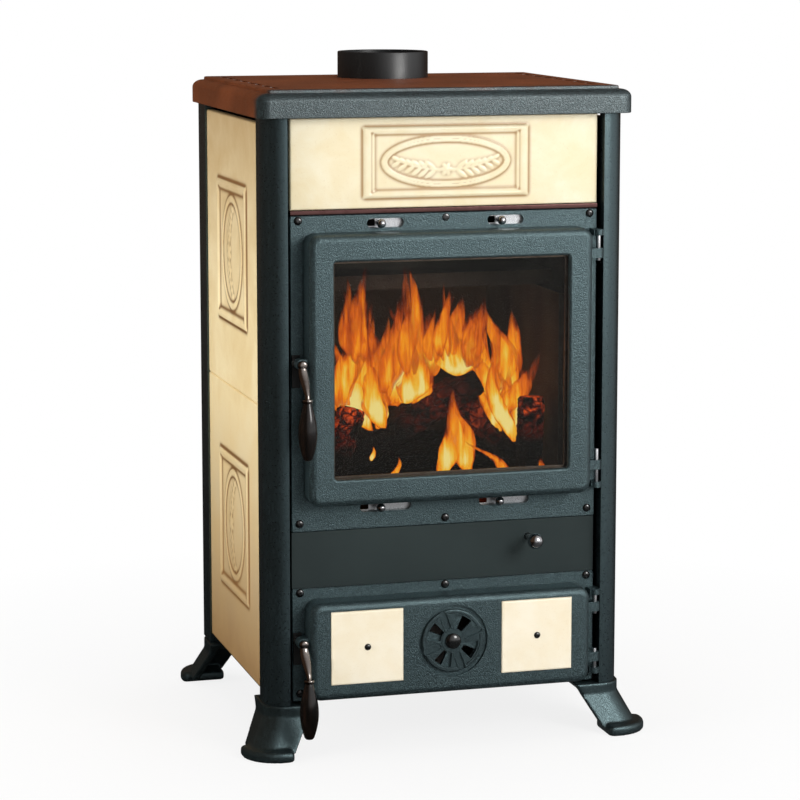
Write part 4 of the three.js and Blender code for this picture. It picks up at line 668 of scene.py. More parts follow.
def height_field(x: np.ndarray, y: np.ndarray, z: np.ndarray, under: float) -> tuple[Mesh, int]:
    """A grid of points with heights, closed by upright sides and a flat underside.

    Args:
        x, y, z: the grid's places and heights, all of one shape.
        under: the underside's level.

    Returns:
        The mesh, and how many points its underside has; they come last.
    """
    top = np.column_stack([x.ravel(), y.ravel(), z.ravel()])
    index = np.arange(len(top)).reshape(x.shape)
    corners = (index[:-1, :-1], index[:-1, 1:], index[1:, 1:], index[1:, :-1])
    faces = np.column_stack([corner.ravel() for corner in corners]).tolist()
    rim = [*index[0, :-1], *index[:-1, -1], *index[-1, :0:-1], *index[:0:-1, 0]]
    start, count = len(top), len(rim)
    for i in range(count):
        j = (i + 1) % count
        faces.append((rim[i], start + i, start + j, rim[j]))
    faces.append(tuple(range(start, start + count)))
    return (np.vstack([top, top[rim] * [1, 1, 0] + [0, 0, under]]), faces), count


def moved(mesh: Mesh, matrix: Matrix) -> Mesh:
    """A mesh put through a matrix."""
    m = np.array(matrix)
    return mesh[0] @ m[:3, :3].T + m[:3, 3], mesh[1]


def joined(*meshes: Mesh) -> Mesh:
    """Several meshes as one.

    Args:
        meshes: points and faces of each.

    Returns:
        All points and faces.
    """
    points, faces, start = [], [], 0
    for own_points, own_faces in meshes:
        points.append(own_points)
        faces.extend(tuple(i + start for i in face) for face in own_faces)
        start += len(own_points)
    return np.concatenate(points), faces


def new_object(name: str, mesh: Mesh, finish: Finish | None = None) -> bpy.types.Object:
    """An object of a mesh drawn in millimetres, with its faces outwards.

    Args:
        name: the object's name.
        mesh: points and faces.
        finish: its finish.

    Returns:
        The object, at the origin.
    """
    data = bpy.data.meshes.new(name)
    data.from_pydata((mesh[0] * MM).tolist(), [], mesh[1])
    edit = bmesh.new()
    edit.from_mesh(data)
    bmesh.ops.recalc_face_normals(edit, faces=edit.faces)
    edit.to_mesh(data)
    edit.free()
    obj = bpy.data.objects.new(name, data)
    bpy.context.scene.collection.objects.link(obj)
    if finish is not None:
        data.materials.append(material_of(finish))
    return obj


def settle(obj: bpy.types.Object) -> bpy.types.Object:
    """Turns an object and its modifiers into a plain mesh.

    Args:
        obj: the object.

    Returns:
        The same object.
    """
    graph = bpy.context.evaluated_depsgraph_get()
    data = bpy.data.meshes.new_from_object(obj.evaluated_get(graph))
    old = obj.data
    obj.modifiers.clear()
    obj.data = data
    bpy.data.meshes.remove(old)
    data.name = obj.name
    return obj


def combine(obj: bpy.types.Object, others: Iterable[bpy.types.Object], operation: str) -> bpy.types.Object:
    """Joins other bodies to an object, or cuts them out of it; they are used up.

    Args:
        obj: the object.
        others: the other bodies.
        operation: UNION or DIFFERENCE.

    Returns:
        The same object.
    """
    others = list(others)
    for other in others:
        step = obj.modifiers.new("step", "BOOLEAN")
        step.operation, step.solver, step.object = operation, "EXACT", other
    bpy.context.view_layer.update()
    settle(obj)
    for other in others:
        data = other.data
        bpy.data.objects.remove(other)
        bpy.data.meshes.remove(data)
    return obj


def tidy_mesh(obj: bpy.types.Object, angle: float = 1.0) -> None:
    """Merges doubled points and flat neighbours, so that a bevel finds real edges.

    Args:
        obj: the object.
        angle: faces closer than this, in degrees, are one.
    """
    edit = bmesh.new()
    edit.from_mesh(obj.data)
    bmesh.ops.remove_doubles(edit, verts=edit.verts, dist=2e-6)
    bmesh.ops.dissolve_degenerate(edit, edges=edit.edges, dist=2e-6)
    bmesh.ops.dissolve_limit(edit, angle_limit=math.radians(angle), verts=edit.verts, edges=edit.edges)
    edit.to_mesh(obj.data)
    edit.free()


def ease_edges(obj: bpy.types.Object, width: float, angle: float = 35) -> bpy.types.Object:
    """Rounds an object's sharp edges and smooths the rest.

    Args:
        obj: the object.
        width: the rounding, in millimetres.
        angle: edges sharper than this, in degrees, are rounded.

    Returns:
        The same object, a plain mesh.
    """
    if width > 0:
        bevel = obj.modifiers.new("edges", "BEVEL")
        bevel.width, bevel.segments, bevel.miter_outer = width * MM, 2, "MITER_ARC"
        bevel.limit_method, bevel.angle_limit, bevel.use_clamp_overlap = "ANGLE", math.radians(angle), True
        settle(obj)
    obj.data.polygons.foreach_set("use_smooth", [True] * len(obj.data.polygons))
    obj.data.set_sharp_from_angle(angle=math.radians(angle))
    if width > 0:
        weighted = obj.modifiers.new("flat_faces_stay_flat", "WEIGHTED_NORMAL")
        weighted.keep_sharp = True
        settle(obj)
    return obj


def add_level(obj: bpy.types.Object, name: str, values: np.ndarray) -> None:
    """Gives a mesh a value per point that a finish reads."""
    layer = obj.data.attributes.new(name, "FLOAT", "POINT")
    layer.data.foreach_set("value", np.asarray(values, np.float32))


def hand_over(obj: bpy.types.Object, body: str, slot: Slot | None, *nodes: str) -> bpy.types.Object:
    """Lets a finished piece ride, and hides the solids that it stands for.

    Args:
        obj: the piece.
        body: the body it rides on.
        slot: its slot in the record; not used.
        nodes: the solids that it stands for.

    Returns:
        The same piece.
    """
    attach(obj, body)
    if nodes:
        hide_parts(*nodes)
    LOG.info("%s: %d faces on %s", obj.name, len(obj.data.polygons), body)
    return obj


def softened_copy(node: str, name: str, finish: Finish, width: float,
                  angle: float = 35) -> bpy.types.Object:
    """A solid's copy with its edges rounded.

    Args:
        node: the solid.
        name: the piece's name.
        finish: its finish.
        width: the rounding, in millimetres.
        angle: edges sharper than this, in degrees, are rounded.

    Returns:
        The piece.
    """
    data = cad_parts[node].data.copy()
    obj = bpy.data.objects.new(name, data)
    bpy.context.scene.collection.objects.link(obj)
    data.materials.clear()
    data.materials.append(material_of(finish))
    tidy_mesh(obj)
    return ease_edges(obj, width, angle)


def dress(node: str, finish: Finish) -> None:
    """Gives a solid that stays in view its finish.

    Args:
        node: the solid.
        finish: the finish.
    """
    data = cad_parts[node].data
    data.materials.clear()
    data.materials.append(material_of(finish))


def box_mm(node: str) -> tuple[np.ndarray, np.ndarray]:
    """A solid's box."""
    low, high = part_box(node)
    return np.array(low) / MM, np.array(high) / MM


# ---------------------------------------------------------------- places shared by the pieces

PLATE_LOW, PLATE_HIGH = box_mm("top_plate")
MIDDLE_Y = (PLATE_LOW[1] + PLATE_HIGH[1]) / 2  # the body's middle, front to back
PANEL_Y = MIDDLE_Y - 201.0  # the front panels' plane
FLUE_Y = MIDDLE_Y + 115.0  # the flue's middle
TILE_X = 239.5  # the side tiles' backs
POST_HALF_WIDTH, POST_HALF_DEPTH = 252.0, 213.0  # the posts' outer faces, from the body's middle
NO_TURN = Matrix.Identity(4)


def on_front(x: float = 0, z: float = 0, proud: float = 0) -> Matrix:
    """From a drawing seen from the front to its place on the stove."""
    turn = Matrix(((1, 0, 0, 0), (0, 0, -1, 0), (0, 1, 0, 0), (0, 0, 0, 1)))
    return Matrix.Translation((x, PANEL_Y - proud, z)) @ turn


def slab(width: float, height: float, thickness: float, corner: float, edge: float, steps: int = 8) -> Mesh:
    """A slab from height 0 up, its upper edge rounded over.

    Args:
        width, height, thickness: its size.
        corner: its corner radius.
        edge: the rounding of its edge.
        steps: steps of each rounding.

    Returns:
        Points and faces.
    """
    rings = [at_level(rounded(width, height, corner, steps=steps), 0)]
    for angle in np.linspace(0, math.pi / 2, steps + 1):
        inset = edge * (1 - math.cos(angle))
        outline = rounded(width - 2 * inset, height - 2 * inset, corner - inset, steps=steps)
        rings.append(at_level(outline, thickness - edge * (1 - math.sin(angle))))
    return skin(rings)


def cutter(outline: np.ndarray, low: float, high: float, place: Matrix) -> bpy.types.Object:
    """A straight body to cut with."""
    return new_object("cutter", moved(skin([at_level(outline, low), at_level(outline, high)]), place))


def circle(radius: float, x: float = 0, y: float = 0, sides: int = 64) -> np.ndarray:
    """A circle's points."""
    angle = np.arange(sides) * 2 * math.pi / sides
    return np.column_stack([x + radius * np.cos(angle), y + radius * np.sin(angle)])


# ---------------------------------------------------------------- structure


@dataclass
class TopPlate:
    """The cast top: an upright fascia, a rounded shoulder, a raised lip and warm-air slots."""

    width: float = 520.0
    depth: float = 442.0
    fascia: float = 21.5
    shoulder: float = 11.0
    shoulder_depth: float = 15.0
    lip_inset: float = 16.0
    lip: float = 4.5
    corner: float = 16.0
    wall: float = 12.0
    thickness: float = 10.0
    flue_radius: float = 65.3
    slots: int = 8
    slot_width: float = 8.5
    slot_length: float = 38.0
    slot_pitch: float = 45.0
    slot_x: float = 222.0
    slot_middle: float = 9.0

    def section(self, inset: float, level: float) -> np.ndarray:
        """One level of the plate's outside.

        Args:
            inset: how far in it is drawn.
            level: its height.

        Returns:
            The ring.
        """
        radius = max(self.corner - inset, 4)
        outline = rounded(self.width - 2 * inset, self.depth - 2 * inset, radius, 0, MIDDLE_Y, 10)
        return at_level(outline, level)

    def build(self) -> None:
        """Builds the plate and hands it over."""
        low, high = PLATE_LOW[2], PLATE_HIGH[2]
        shoulder_low = low + self.fascia
        rings = [self.section(1.2, low), self.section(0.35, low + 0.35), self.section(0, low + 1.2)]
        for angle in np.linspace(0, math.pi / 2, 13):
            inset = self.shoulder_depth * (1 - math.cos(angle))
            rings.append(self.section(inset, shoulder_low + self.shoulder * math.sin(angle)))
        ledge = shoulder_low + self.shoulder
        lip = ((-0.5, ledge), (0, ledge + 0.4), (0.3, high - 1.2), (0.8, high - 0.4), (2, high))
        rings += [self.section(self.lip_inset + inset, level) for inset, level in lip]
        plate = new_object("top_plate_casting", skin(rings), PLATE)
        hollow = rounded(self.width - 2 * self.wall, self.depth - 2 * self.wall, 6, 0, MIDDLE_Y)
        ceiling = high - self.thickness
        cutters = [cutter(hollow, low - 1, ceiling, NO_TURN)]
        cutters.append(cutter(circle(self.flue_radius, 0, FLUE_Y, 96), ceiling - 1, high + 1, NO_TURN))
        for index in range(self.slots):
            y = MIDDLE_Y + self.slot_middle + (index - (self.slots - 1) / 2) * self.slot_pitch
            for x in (-self.slot_x, self.slot_x):
                outline = rounded(self.slot_width, self.slot_length, self.slot_width / 2 - 0.01, x, y)
                cutters.append(cutter(outline, ceiling - 1, high + 1, NO_TURN))
        combine(plate, cutters, "DIFFERENCE")
        tidy_mesh(plate, 0.5)
        ease_edges(plate, 0.9, 50)
        hand_over(plate, BODY, Slot.CAST, "top_plate")


@dataclass
class FlueCollar:
    """The steel collar that the flue pipe goes into."""

    radius: float = 65.0
    wall: float = 4.0
    flange: float = 9.0
    flange_thickness: float = 4.5

    def build(self) -> None:
        """Builds the collar and hands it over."""
        low, high = (corner[2] for corner in box_mm("flue_collar"))
        outer, inner = self.radius, self.radius - self.wall
        brim, top = outer + self.flange, low + self.flange_thickness
        profile = [
            (inner, low), (brim - 0.6, low), (brim, low + 0.6), (brim, top - 0.6), (brim - 0.6, top),
            (outer + 1.5, top), (outer, top + 1.5), (outer, high - 1.3), (outer - 0.4, high - 0.4),
            (outer - 1.2, high), (inner + 0.8, high), (inner, high - 0.8),
        ]
        rings = [at_level(circle(r, 0, FLUE_Y, 128), z) for r, z in profile]
        collar = new_object("flue_collar_pipe", skin(rings, loop=True), FLUE_PAINT)
        hand_over(ease_edges(collar, 0), BODY, Slot.BLACK, "flue_collar")


def corner_arc(x: float, y: float, radius: float, steps: int) -> np.ndarray:
    """A quarter arc in the +X +Y quarter, from the +Y side round to the +X side."""
    angle = np.linspace(math.pi / 2, 0, steps + 1)
    return np.column_stack([x + radius * np.cos(angle), y + radius * np.sin(angle)])


def in_quarter(outline: np.ndarray, side_x: int, side_y: int) -> np.ndarray:
    """An outline drawn in the +X +Y quarter, put in another one."""
    return outline * [side_x, side_y] + [0, MIDDLE_Y]


QUARTERS = (("front_left", -1, -1), ("front_right", 1, -1), ("rear_left", -1, 1), ("rear_right", 1, 1))


@dataclass
class Posts:
    """The four corner posts of bent plate."""

    plate: float = 3.0
    lip: float = 13.0
    front: tuple[float, float, float, float] = (31.5, 48.0, 30.0, 20.0)  # face, side, radius, face lip
    rear: tuple[float, float, float, float] = (56.0, 54.0, 10.0, 0.0)

    def outline(self, face: float, side: float, radius: float, face_lip: float) -> np.ndarray:
        """The post's section in the +X +Y quarter.

        Args:
            face, side: the widths of its two sides.
            radius: the bend between them.
            face_lip: how far its front side turns in, or 0.

        Returns:
            The points.
        """
        x, y, t = POST_HALF_WIDTH, POST_HALF_DEPTH, self.plate
        outer = corner_arc(x - radius, y - radius, radius, 24)
        inner = corner_arc(x - radius, y - radius, radius - t, 24)[::-1]
        start = [(x - face, y - face_lip)] if face_lip else []
        end = [(x - face + t, y - t), (x - face + t, y - face_lip)] if face_lip else [(x - face, y - t)]
        return np.array([
            *start, (x - face, y), *outer, (x, y - side), (x - self.lip, y - side),
            (x - self.lip, y - side + t), (x - t, y - side + t), *inner, *end,
        ])

    def build(self) -> None:
        """Builds the posts and hands them over."""
        for name, side_x, side_y in QUARTERS:
            low, high = (corner[2] for corner in box_mm(f"post_{name}"))
            outline = in_quarter(self.outline(*(self.front if side_y < 0 else self.rear)), side_x, side_y)
            bar = skin([at_level(outline, low), at_level(outline, high)])
            post = new_object(f"corner_post_{name}", bar, POST_PAINT)
            hand_over(ease_edges(post, 0.6, 40), BODY, Slot.POST, f"post_{name}")


@dataclass
class Feet:
    """Cast feet: a block under the post, a splayed leg and a rounded toe."""

    height: float = 67.0
    proud: float = 3.0
    face: float = 69.0
    side: float = 75.0
    wall: float = 11.0
    radius: float = 30.0
    cap: float = 8.0
    block: float = 15.0
    splay: float = 22.0
    lean: float = 34.0
    toe_x: float = 32.0
    toe_y: float = 37.0
    toe_face: float = 63.5
    toe_side: float = 61.0
    toe_height: float = 14.0
    toe_radius: float = 48.0
    voxel: float = 1.7

    def leg_ring(self, level: float, splay: float, angle_section: bool) -> np.ndarray:
        """One level of the leg or of the cap over it.

        Args:
            level: its height.
            splay: how far its outside is shifted out.
            angle_section: an angle with an arc inside, and not a filled corner.

        Returns:
            The ring in the +X +Y quarter.
        """
        lean = self.lean * (self.height - level) / (self.height - self.toe_height / 2)
        x, y = POST_HALF_WIDTH + self.proud + splay, POST_HALF_DEPTH + self.proud + splay
        face, side = self.face + splay - lean, self.side + splay - lean
        outer = corner_arc(x - self.radius, y - self.radius, self.radius, 16)
        if not angle_section:
            return np.array([(x - face, y - side), (x - face, y), *outer, (x, y - side)])
        inner = corner_arc(x - self.radius, y - self.radius, self.radius - self.wall, 16)[::-1]
        return np.array([
            (x - face, y), *outer, (x, y - side),
            (x - self.wall, y - side), *inner, (x - face, y - self.wall),
        ])

    def toe_ring(self, inset: float, level: float) -> tuple[np.ndarray, float]:
        """One level of the toe pad.

        Args:
            inset: how far in it is drawn.
            level: its height.

        Returns:
            Its outline in the +X +Y quarter, and the level.
        """
        x, y = POST_HALF_WIDTH + self.proud + self.toe_x, POST_HALF_DEPTH + self.proud + self.toe_y
        right, top = x - inset, y - inset
        left, bottom = x - self.toe_face + inset, y - self.toe_side + inset
        big, small = self.toe_radius - inset, 7.0
        arc = corner_arc(0, 0, small, 5)
        return np.array([
            *corner_arc(right - big, top - big, big, 18),
            *(arc * [1, -1] + [right - small, bottom + small])[::-1],
            *(arc * [-1, -1] + [left + small, bottom + small]),
            *(arc * [-1, 1] + [left + small, top - small])[::-1],
        ]), level

    def build(self) -> None:
        """Builds the feet and hands them over."""
        for name, side_x, side_y in QUARTERS:
            leg_low, leg_high = self.toe_height / 2, self.height - self.block
            steps = [(leg_low + (leg_high - leg_low) * t, self.splay * (1 - t))
                     for t in np.linspace(0, 1, 9)]
            steps.append((self.height - 1, 0))
            leg = [(self.leg_ring(level, splay, True), level) for level, splay in steps]
            ends = (self.height - self.cap, self.height)
            cap = [(self.leg_ring(level, 0, False), level) for level in ends]
            toe = [self.toe_ring(*pair) for pair in (
                (2, 0), (0.6, 0.5), (0, 2), (0, 8.5), (0.5, 10.8), (2, 12.8), (4, 13.8), (6, 14))]
            parts = [new_object(f"foot_{name}_part", skin([
                at_level(in_quarter(outline, side_x, side_y), level) for outline, level in rings
            ])) for rings in (leg, cap, toe)]
            foot = combine(parts[0], parts[1:], "UNION")
            foot.name = f"cast_foot_{name}"
            grid = foot.modifiers.new("grid", "REMESH")
            grid.mode, grid.voxel_size = "VOXEL", self.voxel * MM
            blend = foot.modifiers.new("blend", "SMOOTH")
            blend.factor, blend.iterations = 0.5, 5
            settle(foot)
            foot.data.materials.clear()
            foot.data.materials.append(material_of(SHADED_FOOT_PAINT))
            foot.data.name = foot.name
            self.keep_level(foot)
            hand_over(ease_edges(foot, 0, 60), BODY, Slot.CAST, f"foot_{name}")

    def keep_level(self, foot: bpy.types.Object) -> None:
        """Keeps the foot's sole on the floor and its top under the post, flat.

        Args:
            foot: the foot.
        """
        points = np.array([v.co for v in foot.data.vertices])
        points[:, 2] = np.clip(points[:, 2], 0.0, self.height * MM)
        points[points[:, 2] < 0.0007, 2] = 0.0
        foot.data.vertices.foreach_set("co", points.ravel())
        foot.data.update()


# ---------------------------------------------------------------- glazed slabs


@dataclass
class Relief:
    """A glazed slab's relief: a moulded frame, an oval and a laurel spray of the maker's own drawing."""

    frame_width: float
    frame_height: float
    side_bar: float
    level_bar: float
    oval_width: float
    oval_height: float
    band: float = 6.0
    frame_proud: float = 2.9
    oval_proud: float = 2.1

    def frame_height_at(self, x: np.ndarray, y: np.ndarray) -> np.ndarray:
        """The moulded frame's height.

        Args:
            x, y: places on the slab.

        Returns:
            The height at each.
        """
        across = np.minimum((self.frame_width / 2 - np.abs(x)) / self.side_bar,
                            (self.frame_height / 2 - np.abs(y)) / self.level_bar)
        roll = np.sqrt(np.clip(1 - ((across - 0.4) / 0.4) ** 2, 0, 1))
        bead = 0.55 * np.sqrt(np.clip(1 - ((across - 0.9) / 0.1) ** 2, 0, 1))
        return self.frame_proud * np.maximum(roll, bead)

    def oval_height_at(self, x: np.ndarray, y: np.ndarray) -> np.ndarray:
        """The oval's height: two thin rolls with a channel between them.

        Args:
            x, y: places on the slab.

        Returns:
            The height at each.
        """
        a, b = self.oval_width / 2, self.oval_height / 2
        reach = np.hypot(x / a, y / b)
        slope = np.hypot(x / a ** 2, y / b ** 2) / np.maximum(reach, 1e-6)
        out = (reach - 1) / np.maximum(slope, 1e-6) + self.band / 2
        rolls = sum(np.sqrt(np.clip(1 - ((out - c) / 1.75) ** 2, 0, 1))
                    for c in (-self.band / 3, self.band / 3))
        field_ = 0.5 * np.clip(-out / 8, 0, 1) * (1 - np.clip(reach, 0, 1) ** 2)
        return self.oval_proud * rolls + field_

    def spray_at(self, x: np.ndarray, y: np.ndarray) -> np.ndarray:
        """A laurel spray on each side of a small rosette, inside the oval.

        Args:
            x, y: places on the slab.

        Returns:
            The height at each.
        """
        a, b = self.oval_width / 2, self.oval_height / 2
        wide = a > b
        along, up = (x, y) if wide else (y, x)
        a, b = (a, b) if wide else (b, a)
        base = -0.34 * b if wide else -0.3 * b
        height = np.zeros_like(x)
        leaf, size = 0.2 * a, min(0.17 * b, 7.0)
        stem = np.abs(up - self.stem_level(along, a, b, base))
        reach = np.abs(along) < 0.74 * a
        height = np.maximum(height, np.where(reach, 1.1 * np.sqrt(np.clip(1 - (stem / 1.3) ** 2, 0, 1)), 0))
        for side in (-1, 1):
            for index, share in enumerate(np.linspace(0.16, 0.72, 6)):
                start = side * share * a
                level = float(self.stem_level(np.array(start), a, b, base))
                long, broad = leaf * (1.12 - 0.55 * share), size * (1.15 - 0.5 * share)
                for lift in (-1, 1):
                    angle = lift * math.radians(38 - 10 * share)
                    one = self.leaf_at((along - start) * side, up - level, angle, long, broad)
                    height = np.maximum(height, one)
                bud = np.hypot(along - start - side * 0.05 * a, up - level - 0.3 * b * (0.7 - share * 0.5))
                if index % 2:
                    height = np.maximum(height, 1.5 * np.sqrt(np.clip(1 - (bud / 2.0) ** 2, 0, 1)))
        return np.maximum(height, self.rosette_at(along, up - base - 0.03 * b, 0.2 * b + 2.0))

    def stem_level(self, along: np.ndarray, a: float, b: float, base: float) -> np.ndarray:
        """Where the stem runs, bowed like a smile."""
        return base + 0.72 * b * (along / a) ** 2

    def leaf_at(self, x: np.ndarray, y: np.ndarray, angle: float, length: float,
                width: float) -> np.ndarray:
        """One pointed leaf with a midrib.

        Args:
            x, y: places round the leaf's base.
            angle: the leaf's direction.
            length, width: its size.

        Returns:
            The height at each place.
        """
        s = (x * math.cos(angle) + y * math.sin(angle)) / length
        t = -x * math.sin(angle) + y * math.cos(angle)
        half = width / 2 * np.sin(np.clip(s, 0, 1) * math.pi) ** 0.75
        inside = (s > 0) & (s < 1) & (np.abs(t) < half)
        dome = np.sqrt(np.clip(1 - (t / np.maximum(half, 1e-3)) ** 2, 0, 1))
        rib = 0.35 * np.exp(-(t / 0.6) ** 2)
        return np.where(inside, 1.7 * dome * (0.65 + 0.35 * s) - rib, 0)

    def rosette_at(self, x: np.ndarray, y: np.ndarray, radius: float) -> np.ndarray:
        """A small round flower of six petals.

        Args:
            x, y: places round its middle.
            radius: its radius.

        Returns:
            The height at each place.
        """
        reach, angle = np.hypot(x, y), np.arctan2(y, x)
        petal = radius * (0.72 + 0.28 * np.abs(np.cos(3 * angle)))
        lobes = 0.7 + 0.3 * np.abs(np.cos(3 * angle))
        flower = 1.9 * np.sqrt(np.clip(1 - (reach / petal) ** 2, 0, 1)) * lobes
        heart = 2.3 * np.sqrt(np.clip(1 - (reach / (0.34 * radius)) ** 2, 0, 1))
        return np.maximum(flower, heart)

    def height_at(self, x: np.ndarray, y: np.ndarray) -> np.ndarray:
        """The whole relief over the slab's face."""
        mouldings = np.maximum(self.frame_height_at(x, y), self.oval_height_at(x, y))
        return np.maximum(mouldings, self.spray_at(x, y))


def blurred(values: np.ndarray, passes: int) -> np.ndarray:
    """A grid of values smoothed a little, as a glaze fills a relief.

    Args:
        values: the grid.
        passes: how often.

    Returns:
        The smoothed grid.
    """
    for _ in range(passes):
        wide = np.pad(values, 1, mode="edge")
        beside = wide[:-2, 1:-1] + wide[2:, 1:-1] + wide[1:-1, :-2] + wide[1:-1, 2:]
        values = (4 * wide[1:-1, 1:-1] + 2 * beside
                  + wide[:-2, :-2] + wide[:-2, 2:] + wide[2:, :-2] + wide[2:, 2:]) / 16
    return values


@dataclass
class GlazedSlab:
    """A glazed slab with a pillowed edge and a relief, drawn flat from height 0 up."""

    name: str
    node: str
    width: float
    height: float
    thickness: float
    finish: Finish
    slot: Slot
    place: Matrix
    relief: Relief | None = None
    grid: float = 1.35
    edge: float = 2.2
    hole: float = 0.0
    body: str = BODY

    def build(self) -> None:
        """Builds the slab and hands it over."""
        columns, rows = (max(int(round(size / self.grid)), 8) for size in (self.width, self.height))
        runs = (np.linspace(-1, 1, n + 1) for n in (columns, rows))
        u, v = (np.sin(run * math.pi / 2) * 0.06 + run * 0.94 for run in runs)  # denser at the edges
        x, y = np.meshgrid(u * self.width / 2, v * self.height / 2)
        to_edge = np.minimum(self.width / 2 - np.abs(x), self.height / 2 - np.abs(y))
        over = 1 - np.clip(to_edge / self.edge, 0, 1)
        round_ = self.edge * (1 - np.sqrt(np.clip(1 - over ** 2, 0, 1)))
        raised = np.zeros_like(x)
        if self.relief is not None:
            raised = blurred(self.relief.height_at(x, y), 2)
        # how far each point sinks under its surroundings, for the pooled glaze and painted shade in the
        # hollows
        groove = np.clip((blurred(raised, 9) - raised) / 0.32, 0, 1)
        mesh, underside = height_field(x, y, self.thickness - round_ * 0.8 + raised, 0)
        obj = new_object(self.name, moved(mesh, self.place), self.finish)
        if self.hole:
            cut = cutter(circle(self.hole, 0, 0, 32), -1, self.thickness + 1, self.place)
            combine(obj, [cut], "DIFFERENCE")
        else:
            add_level(obj, "groove", np.concatenate([groove.ravel(), np.zeros(underside)]))
        hand_over(ease_edges(obj, 0, 50), self.body, self.slot, self.node)


@dataclass
class Ceramics:
    """The front slab and the four side tiles."""

    front: Relief = field(default_factory=lambda: Relief(230, 94, 15.5, 9, 177, 67))
    side: Relief = field(default_factory=lambda: Relief(183, 196, 14, 13, 125, 155))

    def build(self) -> None:
        """Builds the slabs and hands them over."""
        low, high = box_mm("front_ceramic")
        GlazedSlab(
            "front_glazed_slab", "front_ceramic", high[0] - low[0], high[2] - low[2], 8.0,
            IVORY, Slot.IVORY,
            on_front(0, (low[2] + high[2]) / 2, -8.0), self.front, 1.05,
        ).build()
        for side_name, sign in (("left", -1), ("right", 1)):
            for row in ("lower", "upper"):
                node = f"side_tile_{side_name}_{row}"
                low, high = box_mm(node)
                middle = (low + high) / 2
                turn = Matrix(((0, 0, sign, 0), (sign, 0, 0, 0), (0, 1, 0, 0), (0, 0, 0, 1)))
                place = Matrix.Translation((sign * TILE_X, middle[1], middle[2])) @ turn
                GlazedSlab(
                    f"side_glazed_tile_{side_name}_{row}", node, high[1] - low[1], high[2] - low[2], 10.0,
                    OCHRE,
                    Slot.OCHRE, place, self.side, 1.5,
                ).build()


# ---------------------------------------------------------------- fixed front


@dataclass
class FixedFront:
    """The two cast frames, the sheet panel between them, the trim and the catches."""

    frames: tuple[str, ...] = ("lower_front_frame", "upper_front_frame")

    def build(self) -> None:
        """Builds the pieces and hands them over."""
        for node in self.frames:
            casting = softened_copy(node, node.replace("frame", "casting"), CAST, 0.8)
            hand_over(casting, BODY, Slot.CAST, node)
        panel = softened_copy("middle_panel", "plain_sheet_panel", SHEET, 0.5)
        hand_over(panel, BODY, Slot.SHEET, "middle_panel")
        trim = softened_copy("ceramic_trim", "trim_strip", TRIM, 0.8)
        hand_over(trim, BODY, Slot.STEEL, "ceramic_trim")
        for door in ("fire", "ash"):
            node = f"{door}_catch_plate"
            hand_over(softened_copy(node, f"{door}_catch", BLACK_SHEET, 0.5), BODY, Slot.BLACK, node)
            for end in ("upper", "lower"):
                self.pin(f"{door}_hinge_pin_{end}")

    def pin(self, node: str) -> None:
        """Builds one hinge pin with rounded ends.

        Args:
            node: the pin's solid.
        """
        low, high = box_mm(node)
        x, y = (low + high)[:2] / 2
        profile = [(0, low[2]), (2.0, low[2]), (2.8, low[2] + 0.4), (3, low[2] + 1), (3, high[2] - 1),
                   (2.8, high[2] - 0.4), (2.0, high[2]), (0, high[2])]
        pin = new_object(f"{node}_rod", moved(turned(profile, 32), Matrix.Translation((x, y, 0))), STEEL)
        hand_over(ease_edges(pin, 0), BODY, Slot.STEEL, node)


# ---------------------------------------------------------------- doors


